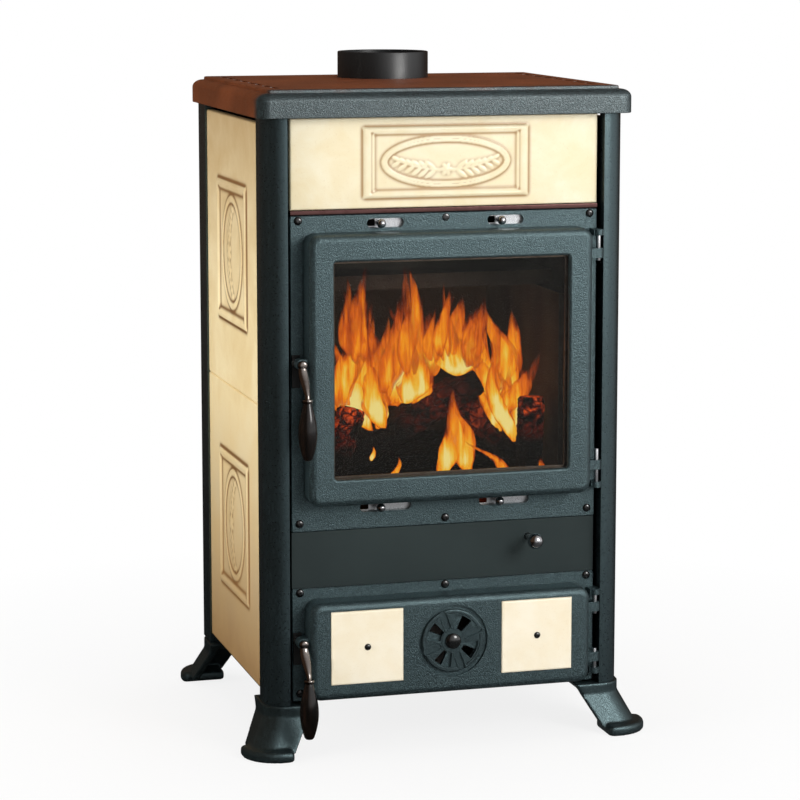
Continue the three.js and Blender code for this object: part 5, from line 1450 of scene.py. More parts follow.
@dataclass
class DoorCasting:
    """What both doors share: a hollow-backed casting with knuckles and a latch lug."""

    bottom: float
    height: float
    face: float
    hinge_from_end: float
    pivot: float
    width: float = 396.0
    thickness: float = 36.0
    seat: float = 1.0
    corner: float = 16.0
    edge: float = 10.0
    rim: float = 16.0
    knuckle: float = 6.5
    knuckle_height: float = 13.0
    hinge_out: float = 13.5
    pin_at: float = 15.0
    pin_hole: float = 3.3
    lug: float = 7.5
    pivot_out: float = 8.0

    def place(self, x: float = 0, y: float = 0) -> Matrix:
        """From the door's own frame to the stove."""
        return on_front(x, self.bottom + y, self.seat)

    def upright(self, radius: float, middle: float, length: float) -> bpy.types.Object:
        """A bar along the hinge axis.

        Args:
            radius: its radius.
            middle: its middle above the door's bottom.
            length: its length.

        Returns:
            The object.
        """
        x, y = self.width / 2 + self.hinge_out, PANEL_Y - self.seat - self.pin_at
        low = self.bottom + middle - length / 2
        return cutter(circle(radius, 0, 0, 48), low, low + length, Matrix.Translation((x, y, 0)))

    def casting(self, name: str) -> bpy.types.Object:
        """The bare casting, with its hollow and the rope's groove.

        Args:
            name: the object's name.

        Returns:
            The object.
        """
        middle = self.height / 2
        shell = slab(self.width, self.height, self.thickness, self.corner, self.edge, 10)
        door = new_object(name, moved(shell, self.place(0, middle)), CAST)
        heights = (self.hinge_from_end, self.height - self.hinge_from_end)
        added = [self.upright(self.knuckle, h, self.knuckle_height) for h in heights]
        for h in heights:
            x0, x1 = self.width / 2 - 6, self.width / 2 + self.hinge_out
            link = rounded(x1 - x0, self.knuckle_height, 0.8, (x0 + x1) / 2, h, 2)
            added.append(cutter(link, self.pin_at - self.knuckle, self.pin_at + self.knuckle, self.place()))
        pivot_x = -self.width / 2 - self.pivot_out
        added.append(cutter(circle(self.lug, pivot_x, self.pivot, 48), 9, 26, self.place()))
        arm = rounded(14, 2 * self.lug, 0.5, pivot_x + 7, self.pivot, 2)
        added.append(cutter(arm, 9, 26, self.place()))
        combine(door, added, "UNION")
        hollow = rounded(self.width - 2 * self.rim, self.height - 2 * self.rim, 6, 0, middle)
        cuts = [cutter(hollow, -1, self.thickness - self.face, self.place())]
        cuts += [self.upright(self.pin_hole, h, self.knuckle_height + 4) for h in heights]
        cuts.append(cutter(circle(3.8, pivot_x, self.pivot, 32), 8, 27, self.place()))
        outer = rounded(self.width - 8, self.height - 8, 10, 0, middle)
        inner = rounded(self.width - 26, self.height - 26, 1.5, 0, middle)
        rings = [at_level(inner, -1), at_level(outer, -1), at_level(outer, 7), at_level(inner, 7)]
        cuts.append(new_object("cutter", moved(skin(rings, loop=True), self.place())))
        return combine(door, cuts, "DIFFERENCE")


@dataclass
class FireDoor:
    """The glass door over the fire."""

    casting: DoorCasting = field(default_factory=lambda: DoorCasting(341.5, 364.0, 8.0, 36.0, 192.0))
    window_width: float = 328.0
    window_height: float = 291.5
    window_low: float = 36.5

    def build(self) -> None:
        """Builds the door and hands it over."""
        door = self.casting.casting("fire_door_casting")
        middle = self.window_low + self.window_height / 2
        rings = []
        steps = ((0, 26), (0, 32.6), (0.35, 33.9), (1.1, 34.9), (2.2, 35.6), (3.4, 36), (3.4, 38))
        for inset, level in steps:
            width, height = self.window_width + 2 * inset, self.window_height + 2 * inset
            rings.append(at_level(rounded(width, height, 4 + inset, 0, middle), level))
        combine(door, [new_object("cutter", moved(skin(rings), self.casting.place()))], "DIFFERENCE")
        tidy_mesh(door, 0.5)
        hand_over(ease_edges(door, 0.7, 48), "fire_door", Slot.CAST, "fire_door")
        dress("door_glass", GLASS)
        dress("glass_retainer", BURNT_STEEL)
        LatchHandle("fire", self.casting).build()


@dataclass
class AshDoor:
    """The lower door, with two glazed tiles and a round air register."""

    casting: DoorCasting = field(default_factory=lambda: DoorCasting(76.0, 134.0, 10.0, 31.5, 79.0))
    tile: float = 100.0
    tile_x: float = 120.0
    tile_y: float = 72.5
    recess: float = 49.5
    disc: float = 43.5
    hub: float = 11.0
    turn: float = math.radians(20)

    def windows(self, low: float, high: float, place: Matrix, turn: float = 0.0) -> list[bpy.types.Object]:
        """The four windows of the register, to cut with.

        Args:
            low, high: from where to where they cut.
            place: where the register's middle is.
            turn: how far they are turned.

        Returns:
            The objects.
        """
        spread = math.radians(42)
        result = []
        for index in range(4):
            middle = math.pi / 4 + index * math.pi / 2 + turn
            angle = np.linspace(middle - spread / 2, middle + spread / 2, 13)
            arc = np.column_stack([np.cos(angle), np.sin(angle)])
            result.append(cutter(np.vstack([arc * 36.5, arc[::-1] * 17]), low, high, place))
        return result

    def build(self) -> None:
        """Builds the door and what it carries, and hands them over."""
        casting = self.casting
        door = casting.casting("ash_door_casting")
        bed = self.tile + 1.2
        cuts = [cutter(rounded(bed, bed, 2, side * self.tile_x, self.tile_y), 30, 38, casting.place())
                for side in (-1, 1)]
        cuts.append(cutter(circle(self.recess, 0, self.tile_y, 96), 32, 38, casting.place()))
        cuts.append(cutter(circle(4.3, 0, self.tile_y, 32), 20, 33, casting.place()))
        cuts += self.windows(20, 33, casting.place(0, self.tile_y))
        combine(door, cuts, "DIFFERENCE")
        tidy_mesh(door, 0.5)
        hand_over(ease_edges(door, 0.8, 48), "ash_door", Slot.CAST, "ash_door")
        for side, word in ((-1, "left"), (1, "right")):
            place = casting.place(side * self.tile_x, self.tile_y) @ Matrix.Translation((0, 0, 30.3))
            GlazedSlab(
                f"ash_door_glazed_tile_{word}", f"ash_door_tile_{word}", self.tile, self.tile, 8.0,
                PALE_TILE, Slot.IVORY, place, grid=1.6, edge=1.6, hole=3.2, body="ash_door",
            ).build()
        self.register()
        LatchHandle("ash", casting).build()

    def register(self) -> None:
        """Builds the turning disc and the hub it turns on."""
        place = self.casting.place(0, self.tile_y)
        back, thick = 32.3, 5.0
        face, radius = back + thick, self.disc
        profile = [
            (0, back), (radius - 0.4, back), (radius, back + 0.4), (radius, face - 1.6),
            (radius - 0.35, face - 0.7), (radius - 1.2, face - 0.1), (radius - 2.2, face),
            (radius - 4.6, face), (radius - 5.4, face - 0.9), (0, face - 0.9),
        ]
        disc = new_object("register_disc", moved(turned(profile, 128), place), DISC_PAINT)
        ribs = []
        cuts = self.windows(back - 1, face + 1, place, self.turn)
        for index in range(4):
            angle = self.turn + index * math.pi / 2
            spoke = place @ Matrix.Rotation(angle, 4, "Z")
            cuts.append(cutter(rounded(26, 8, 3.5, 30.5, 0, 6), face - 2.5, face + 1, spoke))
            for side in (-1, 1):
                ribs.append(cutter(rounded(24, 1.8, 0.8, 28.5, side * 5.1, 4), back + 1, face, spoke))
        ribs.append(cutter(circle(15.5, 0, 0, 64), back + 1, face, place))
        combine(disc, ribs, "UNION")
        cuts.append(cutter(circle(4.3, 0, 0, 32), back - 1, face + 1, place))
        combine(disc, cuts, "DIFFERENCE")
        tidy_mesh(disc, 0.5)
        hand_over(ease_edges(disc, 0.45, 48), "ash_register", Slot.CAST, "ash_register_disc")
        cap = face + 0.3
        dome = [(self.hub * math.cos(a), cap + 0.8 + 5.9 * math.sin(a))
                for a in np.linspace(0, math.pi / 2, 12)[:-1]]
        profile = [
            (0, 23), (4, 23), (4, cap), (self.hub - 0.4, cap), (self.hub, cap + 0.3), *dome, (0, cap + 6.7),
        ]
        hub = new_object("register_hub", moved(turned(profile, 64), place), SCREW_BLACK)
        hand_over(ease_edges(hub, 0), "ash_door", Slot.BLACK, "ash_register_hub")


@dataclass
class LatchHandle:
    """A chromed leaf-shaped lever with a black turned grip that hangs down in front of it."""

    door: str
    casting: DoorCasting
    drop: float = 42.0
    reach: float = 26.0
    grip_length: float = 76.0
    grip_radius: float = 12.77
    neck: float = 5.2
    end: float = 5.6

    def build(self) -> None:
        """Builds the lever and the grip and hands them over."""
        place = self.casting.place(-self.casting.width / 2 - self.casting.pivot_out, self.casting.pivot)
        hub = 26.3
        ferrule = hub + 4 + self.reach
        shaft = [(0, 5.2), (3.5, 5.2), (3.5, hub + 0.5), (0, hub + 0.5)]
        boss = [
            (0, hub), (5.7, hub), (6.5, hub + 0.8), (6.5, hub + 5.5), (5.6, hub + 7), (3.4, hub + 7.8),
            (0, hub + 8),
        ]
        lever = new_object(f"{self.door}_latch_lever", moved(turned(boss, 40), place), LEVER_METAL)
        nose = cutter(rounded(9.5, 8, 1, -4.75, 0, 3), 5.2, 8.7, place)
        rod = new_object("part", moved(turned(shaft, 32), place))
        blade = new_object("part", moved(self.blade(hub + 4, ferrule), place))
        down = Matrix.Rotation(-math.pi / 2, 4, "X")
        laid = place @ Matrix.Translation((0, -self.drop - 4, ferrule)) @ down
        collar = new_object("part", moved(self.ferrule_mesh(), laid))
        combine(lever, [rod, nose, blade, collar], "UNION")
        tidy_mesh(lever, 0.5)
        body = f"{self.door}_handle"
        hand_over(ease_edges(lever, 0, 45), body, Slot.CHROME, f"{body}_lever")
        t = np.linspace(0, 1, 40)
        swell = np.clip(np.sin(math.pi * t ** 1.12), 0, 1) ** 0.85
        core = self.neck + (self.end - self.neck) * t
        radius = core + (self.grip_radius - core) * swell
        radius[-1] = self.end - 0.9
        length = self.grip_length
        levels = -t[::-1] * (length - 0.6) - 0.6 * t[::-1] ** 9
        profile = [(0, -length), (radius[-1] - 1.6, -length), *zip(radius[::-1], levels), (0, 0)]
        hang = place @ Matrix.Translation((0, -self.drop - 4.3, ferrule)) @ down
        grip = new_object(f"{self.door}_turned_grip", moved(turned(profile, 64), hang), GRIP)
        hand_over(ease_edges(grip, 0, 60), body, Slot.GRIP, f"{body}_grip")

    def ferrule_mesh(self) -> Mesh:
        """The ring between the lever and the grip, upright, its bottom at 0."""
        rings = [(6.2, 0), (7, 0.8), (7, 2.0), (6.3, 2.5), (7, 3.0), (7, 4.2), (6.2, 5)]
        return turned([(0, 0), *rings, (0, 5)], 48)

    def blade(self, start: float, end: float) -> Mesh:
        """The lever's leaf: swept from the boss down and forward, beaded along its outer edge.

        Args:
            start, end: how far in front of the door its two ends are.

        Returns:
            Points and faces.
        """
        angle = np.arange(28) * 2 * math.pi / 28
        rings = []
        for t in np.linspace(0, 1, 44):
            wide = 5.1 + 1.5 * math.sin(math.pi * min(t * 1.3, 1)) - 2.6 * t ** 2 + 0.9 * t ** 6
            lean = t * t * (3 - 2 * t)
            bead = 0.45 * math.sin(t * 44) ** 2 * (1 if t < 0.82 else 0)
            x = wide * np.cos(angle) * np.where(np.cos(angle) < 0, 1 + bead / wide * 2, 1)
            z = start + (end - start) * lean + 3.4 * np.sin(angle) * (1 - 0.25 * np.cos(angle) ** 2)
            y = np.full(28, -t * self.drop)
            rings.append(np.column_stack([x, y, z]))
        return skin(rings)


# ---------------------------------------------------------------- air slides and shaker


def ball_knob(radius: float, stem: float, back: float, reach: float) -> list[tuple[float, float]]:
    """Profile of a ball on a stem.

    Args:
        radius: the ball's radius.
        stem: the stem's radius.
        back: the stem's back end.
        reach: the ball's front.

    Returns:
        Radius and height of each point.
    """
    neck, steps = math.pi - math.asin(stem / radius), 24
    angles = neck * (1 - np.arange(steps + 1) / steps)
    ball = [(radius * math.sin(a), reach - radius + radius * math.cos(a)) for a in angles[:-1]]
    return [(0, back), (stem, back), *ball, (0, reach)]


@dataclass
class AirSlides:
    """The two slide plates behind the front, each with two ball knobs."""

    knob: float = 6.2
    stem: float = 2.5
    reach: float = 15.0

    def build(self) -> None:
        """Builds the slides and hands them over."""
        for level in ("upper", "lower"):
            body = f"{level}_air_slide"
            node = f"{level}_air_plate"
            hand_over(softened_copy(node, f"{level}_slide_strip", STEEL, 0.4), body, Slot.STEEL, node)
            for side in ("left", "right"):
                node = f"{level}_air_knob_{side}"
                low, high = box_mm(node)
                middle = (low + high) / 2
                ball = turned(ball_knob(self.knob, self.stem, -12.5, self.reach), 40)
                place = on_front(middle[0], middle[2])
                knob = new_object(f"{level}_slide_knob_{side}", moved(ball, place), CHROME)
                hand_over(ease_edges(knob, 0, 50), body, Slot.CHROME, node)


@dataclass
class Shaker:
    """The grate with its pull rod and knob."""

    radius: float = 11.0

    def build(self) -> None:
        """Builds the shaker and hands it over."""
        low, high = box_mm("shaker_knob")
        middle = (low + high) / 2
        steps = np.linspace(math.pi - math.asin(4.3 / self.radius), 0, 28)
        ball = [(self.radius * math.sin(a), self.radius * math.cos(a)) for a in steps[:-1]]
        dimple = [(2.2, self.radius - 0.25), (1.9, self.radius - 1.2), (0, self.radius - 1.2)]
        profile = [(0, -0.6), (4.3, -0.6), *ball, *dimple]
        proud = PANEL_Y - (high[1] - self.radius)
        place = on_front(middle[0], middle[2]) @ Matrix.Translation((0, 0, proud))
        knob = new_object("shaker_ball", moved(turned(profile, 56), place), CHROME)
        hand_over(ease_edges(knob, 0, 50), "grate_shaker", Slot.CHROME, "shaker_knob")
        rod = softened_copy("shaker_rod", "shaker_pull_rod", STEEL, 0.3, 50)
        hand_over(rod, "grate_shaker", Slot.STEEL, "shaker_rod")
        grate = softened_copy("grate", "fire_grate", IRON, 1.0)
        hand_over(grate, "grate_shaker", Slot.IRON, "grate")


# ---------------------------------------------------------------- inside and back


@dataclass
class Inside:
    """What stands inside or behind: the solids keep their shape and get their finish."""

    sheets: tuple[str, ...] = (
        "base_plate", "back_panel", "tile_carrier_left", "tile_carrier_right", "firebox_shell",
        "ash_pan_shelf",
    )
    bricks: tuple[str, ...] = ("firebrick_left", "firebrick_right", "firebrick_rear", "smoke_baffle")

    def build(self) -> None:
        """Dresses the solids."""
        for node in self.sheets:
            dress(node, BLACK_SHEET)
        for node in self.bricks:
            dress(node, BRICK)
        dress("hearth_plate", IRON)
        dress("ash_pan", BURNT_STEEL)
        dress("fire_door_gasket", ROPE)
        dress("ash_door_gasket", ROPE)


# ---------------------------------------------------------------- screws


class Recess(Enum):
    """The recess in a screw's head, by its number of sides."""

    HEX = 6
    SQUARE = 4


@dataclass
class ScrewSet:
    """Screw heads of one size on one body, set on points by one node tree."""

    name: str
    body: str
    places: Sequence[Point]  # across, up and proud of the front panels' plane, in millimetres
    radius: float = 5.75
    height: float = 3.0
    recess_radius: float = 2.1
    recess: Recess = Recess.HEX
    seed: int = 3

    def tree(self) -> bpy.types.NodeTree:
        """Makes the node tree: a domed head with a recess, instanced on points that face the front.

        Returns:
            The tree.
        """
        tree = bpy.data.node_groups.new(f"{self.name}_heads", "GeometryNodeTree")
        tree.is_modifier = True
        for name, kind in (
            ("Points", "Geometry"), ("Head Radius", "Float"), ("Head Height", "Float"),
            ("Recess Radius", "Float"), ("Recess Sides", "Int"), ("Seed", "Int"), ("Finish", "Material"),
        ):
            tree.interface.new_socket(name, in_out="INPUT", socket_type=f"NodeSocket{kind}")
        tree.interface.new_socket("Heads", in_out="OUTPUT", socket_type="NodeSocketGeometry")
        bench = Bench(tree)
        given = bench.add("NodeGroupInput").outputs
        flat = bench.sum("DIVIDE", given["Head Height"], given["Head Radius"])
        squash = bench.add("ShaderNodeCombineXYZ", {0: 1.0, 1: 1.0, 2: flat}).outputs[0]
        ball = bench.add("GeometryNodeMeshUVSphere", {
            "Segments": 28, "Rings": 14, "Radius": given["Head Radius"],
        })
        dome = bench.add("GeometryNodeTransform", {"Geometry": ball.outputs["Mesh"], "Scale": squash})
        bar = bench.add("GeometryNodeMeshCylinder", {
            "Vertices": given["Recess Sides"], "Radius": given["Recess Radius"],
            "Depth": given["Head Height"],
        })
        lift = bench.add("ShaderNodeCombineXYZ", {2: given["Head Height"]}).outputs[0]
        tool = bench.add("GeometryNodeTransform", {"Geometry": bar.outputs["Mesh"], "Translation": lift})
        parts = {"Mesh 1": dome.outputs[0], "Mesh 2": tool.outputs[0]}
        head = bench.add("GeometryNodeMeshBoolean", parts, operation="DIFFERENCE", solver="EXACT")
        spin = bench.add("FunctionNodeRandomValue", {"Seed": given["Seed"]}, data_type="FLOAT")
        turn = bench.sum("MULTIPLY", spin.outputs[1], 2 * math.pi)
        facing = bench.add("ShaderNodeCombineXYZ", {0: math.pi / 2, 1: turn}).outputs[0]
        placed = bench.add("GeometryNodeInstanceOnPoints", {
            "Points": given["Points"], "Instance": head.outputs["Mesh"], "Rotation": facing})
        real = bench.add("GeometryNodeRealizeInstances", {"Geometry": placed.outputs[0]})
        smooth = bench.add("GeometryNodeSetShadeSmooth", {"Geometry": real.outputs[0]})
        dressed = bench.add("GeometryNodeSetMaterial", {
            "Geometry": smooth.outputs[0], "Material": given["Finish"],
        })
        bench.add("NodeGroupOutput", {"Heads": dressed.outputs[0]})
        return tree

    def build(self) -> None:
        """Builds the heads and hands them over."""
        points = np.array([on_front(x, z, proud).translation for x, z, proud in self.places])
        obj = new_object(self.name, (points, []))
        tree = self.tree()
        heads = obj.modifiers.new("heads", "NODES")
        heads.node_group = tree
        values = {
            "Head Radius": self.radius * MM, "Head Height": self.height * MM,
            "Recess Radius": self.recess_radius * MM, "Recess Sides": self.recess.value, "Seed": self.seed,
            "Finish": material_of(SCREW_BLACK),
        }
        for item in tree.interface.items_tree:
            if item.in_out == "INPUT" and item.name in values:
                heads[item.identifier] = values[item.name]
        settle(obj)
        obj.data.set_sharp_from_angle(angle=math.radians(40))
        hand_over(obj, self.body, Slot.BLACK)


SCREWS = (
    ScrewSet("frame_screws", BODY, [(side * 204, z, 0) for side in (-1, 1) for z in (722, 314, 219, 80)]
             + [(0, 312, 0), (0, 219, 0)]),
    ScrewSet("middle_screw", BODY, [(0, 722, 0)], 5.2, 1.1, 2.6, Recess.SQUARE, 5),
    ScrewSet("tile_screws", "ash_door", [(side * 120, 148.5, 39.2) for side in (-1, 1)],
             4.6, 2.6, 1.7, Recess.HEX, 7),
)


# ---------------------------------------------------------------- the fire


@dataclass(frozen=True)
class Tongue:
    """One flame: its foot, its tip, its half width and how hot it is."""

    foot: Point
    tip: Point
    half: float
    heat: float
    sides: int = 30
    steps: int = 44  # along its length

    def body(self, chance: np.random.Generator) -> tuple[Mesh, np.ndarray]:
        """The flame as a closed body.

        Args:
            chance: where its chance values come from.

        Returns:
            Points and faces, and the heat at each point.
        """
        foot, tip = np.array(self.foot), np.array(self.tip)
        angle = np.arange(self.sides) * 2 * math.pi / self.sides
        sway, beat = chance.uniform(0.04, 0.11), chance.uniform(0.6, 1.1)
        phase = chance.uniform(0, 2 * math.pi)
        ridge, twist = chance.integers(5, 9), chance.uniform(1.5, 3.5)
        turn = math.radians(chance.uniform(8, 22))
        length = float(np.linalg.norm(tip - foot))
        rings, heats = [], []
        for t in np.linspace(0.0, 1.0, self.steps):
            rise = min((t + 0.02) / 0.3, 1.0) ** 0.5
            fall = (1 - max(t - 0.22, 0) / 0.78) ** 0.85
            width = max(self.half * rise * fall, 0.25)
            bend = math.sin(2 * math.pi * beat * t + phase) - math.sin(phase)
            middle = foot + (tip - foot) * t + np.array([length * sway * bend * (1 - 0.2 * t), 0, 0])
            ruffle = 1 + 0.13 * np.sin(ridge * angle + twist * 2 * math.pi * t + phase) * min(4 * t, 1)
            across, through = width * np.cos(angle) * ruffle, 0.42 * width * np.sin(angle) * ruffle
            rings.append(middle + np.column_stack([
                across * math.cos(turn) + through * math.sin(turn),
                through * math.cos(turn) - across * math.sin(turn),
                0.12 * width * np.cos(2 * angle + phase),
            ]))
            core = self.heat * (1 - t) ** 1.05 * min(0.4 + 3 * t, 1.0)
            heats.append(core * np.abs(np.sin(angle)) ** 0.9)
        return skin(rings), np.concatenate(heats)


@dataclass(frozen=True)
class Billet:
    """One charred log: its two ends, its radius and where it glows."""

    start: Point
    end: Point
    radius: float
    glow: tuple[float, float, float, float, float]  # a point, the reach of its glow and its level
    sides: int = 36
    steps: int = 60  # along its length

    def body(self, chance: np.random.Generator) -> tuple[Mesh, np.ndarray]:
        """The log as a closed body.

        Args:
            chance: where its chance values come from.

        Returns:
            Points and faces, and the glow at each point.
        """
        start, end = Vector(self.start), Vector(self.end)
        length = (end - start).length
        frame_ = (end - start).to_track_quat("Z", "Y").to_matrix().to_4x4()
        angle = np.arange(self.sides) * 2 * math.pi / self.sides
        phases = chance.uniform(0, 2 * math.pi, 8)
        rings = []
        ends = ([0, 0.4, 2.0], [length - 2.0, length - 0.4, length])
        for z in np.concatenate([ends[0], np.linspace(5, length - 5, self.steps), ends[1]]):
            to_end = min(z, length - z)
            cap = (0.0 if to_end <= 0 else 1.0) * min(1.0, 0.86 + 0.14 * to_end / 5)
            split = 1 - 0.13 * np.clip(np.cos(4 * angle + phases[0] + 0.004 * z), 0.35, 1)
            rough = (0.05 * np.sin(9 * angle + phases[1] + 0.05 * z)
                     + 0.03 * np.sin(0.35 * z + phases[2] + 3 * angle)
                     + 0.025 * np.sin(0.8 * z + phases[3] - 5 * angle)
                     + 0.02 * np.sin(17 * angle + phases[4]))
            bow_x = 0.08 * self.radius * math.sin(0.02 * z + phases[5])
            bow_y = 0.08 * self.radius * math.cos(0.017 * z + phases[6])
            radius = self.radius * max(cap, 0.3) * (split + rough)
            rings.append(np.column_stack([
                radius * np.cos(angle) + bow_x, radius * np.sin(angle) + bow_y, np.full(self.sides, z),
            ]))
        mesh = moved(skin(rings), Matrix.Translation(start) @ frame_)
        *spot, reach, level = self.glow
        away = np.linalg.norm(mesh[0] - np.array(spot), axis=1)
        return mesh, level * np.clip(1 - away / reach, 0, 1)


@dataclass
class FireBed:
    """Charred logs on embers, and the flames over them, standing on the hearth behind the glass."""

    hearth: float = 322.6
    half_width: float = 166.0
    front: float = -158.0
    back: float = 158.0
    billets: tuple[Billet, ...] = (
        Billet((-152, -38, 350), (86, -62, 480), 25, (20, -75, 455, 70, 0.35)),
        Billet((62, -52, 452), (156, -78, 348), 18, (75, -75, 430, 60, 0.5)),
        Billet((-150, 60, 352), (148, 74, 356), 29, (0, 60, 352, 10, 0.0)),
        Billet((143, -128, 330), (144, -126, 462), 19, (146, -140, 462, 62, 1.0)),
        Billet((-138, -98, 334), (-100, -74, 448), 20, (-100, -88, 452, 70, 1.1)),
        Billet((-120, -120, 338), (-20, -112, 346), 12, (-60, -120, 345, 30, 0.6)),
        Billet((20, -128, 338), (128, -118, 342), 13, (70, -135, 345, 40, 0.7)),
    )
    tongues: tuple[Tongue, ...] = (
        Tongue((-118, -84, 452), (-124, -86, 618), 21, 0.95),
        Tongue((-30, -108, 500), (-49, -108, 656), 15, 0.66),
        Tongue((-80, -110, 510), (-98, -110, 657), 17, 0.5),
        Tongue((18, -108, 520), (26, -108, 630), 11, 0.6),
        Tongue((62, -108, 505), (76, -108, 604), 16, 0.66),
        Tongue((-84, -66, 428), (-98, -64, 566), 32, 1.35),
        Tongue((-60, -90, 470), (-44, -92, 650), 17, 0.62),
        Tongue((-74, -74, 462), (-70, -74, 600), 22, 0.85),
        Tongue((-34, -56, 446), (-14, -60, 592), 26, 1.05),
        Tongue((-8, -66, 470), (0, -64, 602), 18, 0.95),
        Tongue((20, -58, 486), (22, -60, 590), 22, 1.1),
        Tongue((42, -78, 500), (35, -80, 622), 8, 0.6),
        Tongue((50, -62, 490), (56, -62, 600), 25, 1.15),
        Tongue((86, -58, 482), (80, -58, 592), 24, 1.05),
        Tongue((112, -70, 462), (92, -68, 594), 20, 0.85),
        Tongue((120, -60, 440), (130, -62, 576), 25, 0.95),
        Tongue((124, -80, 432), (158, -88, 520), 19, 0.8),
        Tongue((134, -86, 392), (112, -84, 530), 14, 1.5),
        Tongue((54, -72, 488), (44, -72, 556), 36, 1.4),
        Tongue((-58, -84, 420), (-92, -82, 536), 18, 1.6),
        Tongue((-20, -74, 452), (10, -74, 532), 26, 1.4),
        Tongue((24, -92, 350), (46, -90, 476), 19, 1.15),
        Tongue((64, -98, 352), (40, -96, 446), 14, 1.1),
        Tongue((112, -120, 350), (52, -104, 402), 9, 0.9),
        Tongue((-58, -134, 352), (-50, -132, 388), 6, 0.9),
        Tongue((-88, -134, 384), (-86, -132, 404), 4, 1.2),
        Tongue((150, -140, 346), (156, -138, 380), 8, 0.8),
    )
    seed: int = 11

    def build(self) -> None:
        """Builds the fire and hands it over."""
        chance = np.random.default_rng(self.seed)
        self.gather("charred_logs", [billet.body(chance) for billet in self.billets], CHARRED)
        tongues = [*self.tongues, *(self.side_tongue(tongue, chance) for tongue in self.tongues[:21] * 2)]
        self.gather("fire_flames", [tongue.body(chance) for tongue in tongues], FLAME)
        self.embers(chance)

    def side_tongue(self, tongue: Tongue, chance: np.random.Generator) -> Tongue:
        """A smaller flame beside a main one.

        Args:
            tongue: the main one.
            chance: where its chance values come from.

        Returns:
            The smaller one.
        """
        shift = np.array([chance.uniform(-20, 20), chance.uniform(4, 16), chance.uniform(-6, 6)])
        foot, tip = np.array(tongue.foot) + shift, np.array(tongue.tip) + shift * [1.4, 1, 1]
        tip = foot + (tip - foot) * chance.uniform(0.6, 0.9)
        tip[0] = np.clip(tip[0], -158, 158)
        return Tongue(tuple(foot), tuple(tip), tongue.half * chance.uniform(0.5, 0.85), tongue.heat * 0.85)

    def gather(self, name: str, parts: Sequence[tuple[Mesh, np.ndarray]], finish: Finish) -> None:
        """Makes one piece of several bodies and hands it over.

        Args:
            name: the piece's name.
            parts: each body's mesh and heat.
            finish: the piece's finish.
        """
        obj = new_object(name, joined(*(mesh for mesh, _ in parts)), finish)
        add_level(obj, "warmth", np.concatenate([heat for _, heat in parts]))
        hand_over(ease_edges(obj, 0, 55), BODY, None)

    def embers(self, chance: np.random.Generator) -> None:
        """Builds the bed of embers.

        Args:
            chance: where its chance values come from.
        """
        columns, rows = 150, 130
        u, v = np.meshgrid(np.linspace(-1, 1, columns + 1), np.linspace(0, 1, rows + 1))
        x, y = u * self.half_width, self.front + v * (self.back - self.front)
        height = np.full_like(x, 2.0)
        for _ in range(420):
            cx, cy = chance.uniform(-158, 158), chance.uniform(self.front + 12, self.back - 8)
            size, squat = chance.uniform(6, 17), chance.uniform(0.5, 0.9)
            away = np.abs(x - cx) ** 2.6 + np.abs((y - cy) * chance.uniform(0.8, 1.3)) ** 2.6
            lump = np.clip(1 - away / size ** 2.6, 0, 1) ** 0.4 * size * squat
            height = np.maximum(height, lump + 5 * (1 - (cx / 180) ** 2))
        to_rim = np.minimum(np.minimum(self.half_width - np.abs(x), y - self.front), self.back - y)
        height *= np.clip(to_rim / 8, 0.05, 1) ** 0.5
        mesh, underside = height_field(x, y, self.hearth + height, self.hearth)
        to_glow = np.hypot((x - 45) / 120, (y + 90) / 70)
        warm = np.clip(1.1 - to_glow, 0, 1) * chance.uniform(0.5, 1.0, x.shape)
        obj = new_object("ember_bed", mesh, CHARRED)
        add_level(obj, "warmth", np.concatenate([warm.ravel(), np.zeros(underside)]))
        hand_over(ease_edges(obj, 0, 50), BODY, None)


# ---------------------------------------------------------------- stage


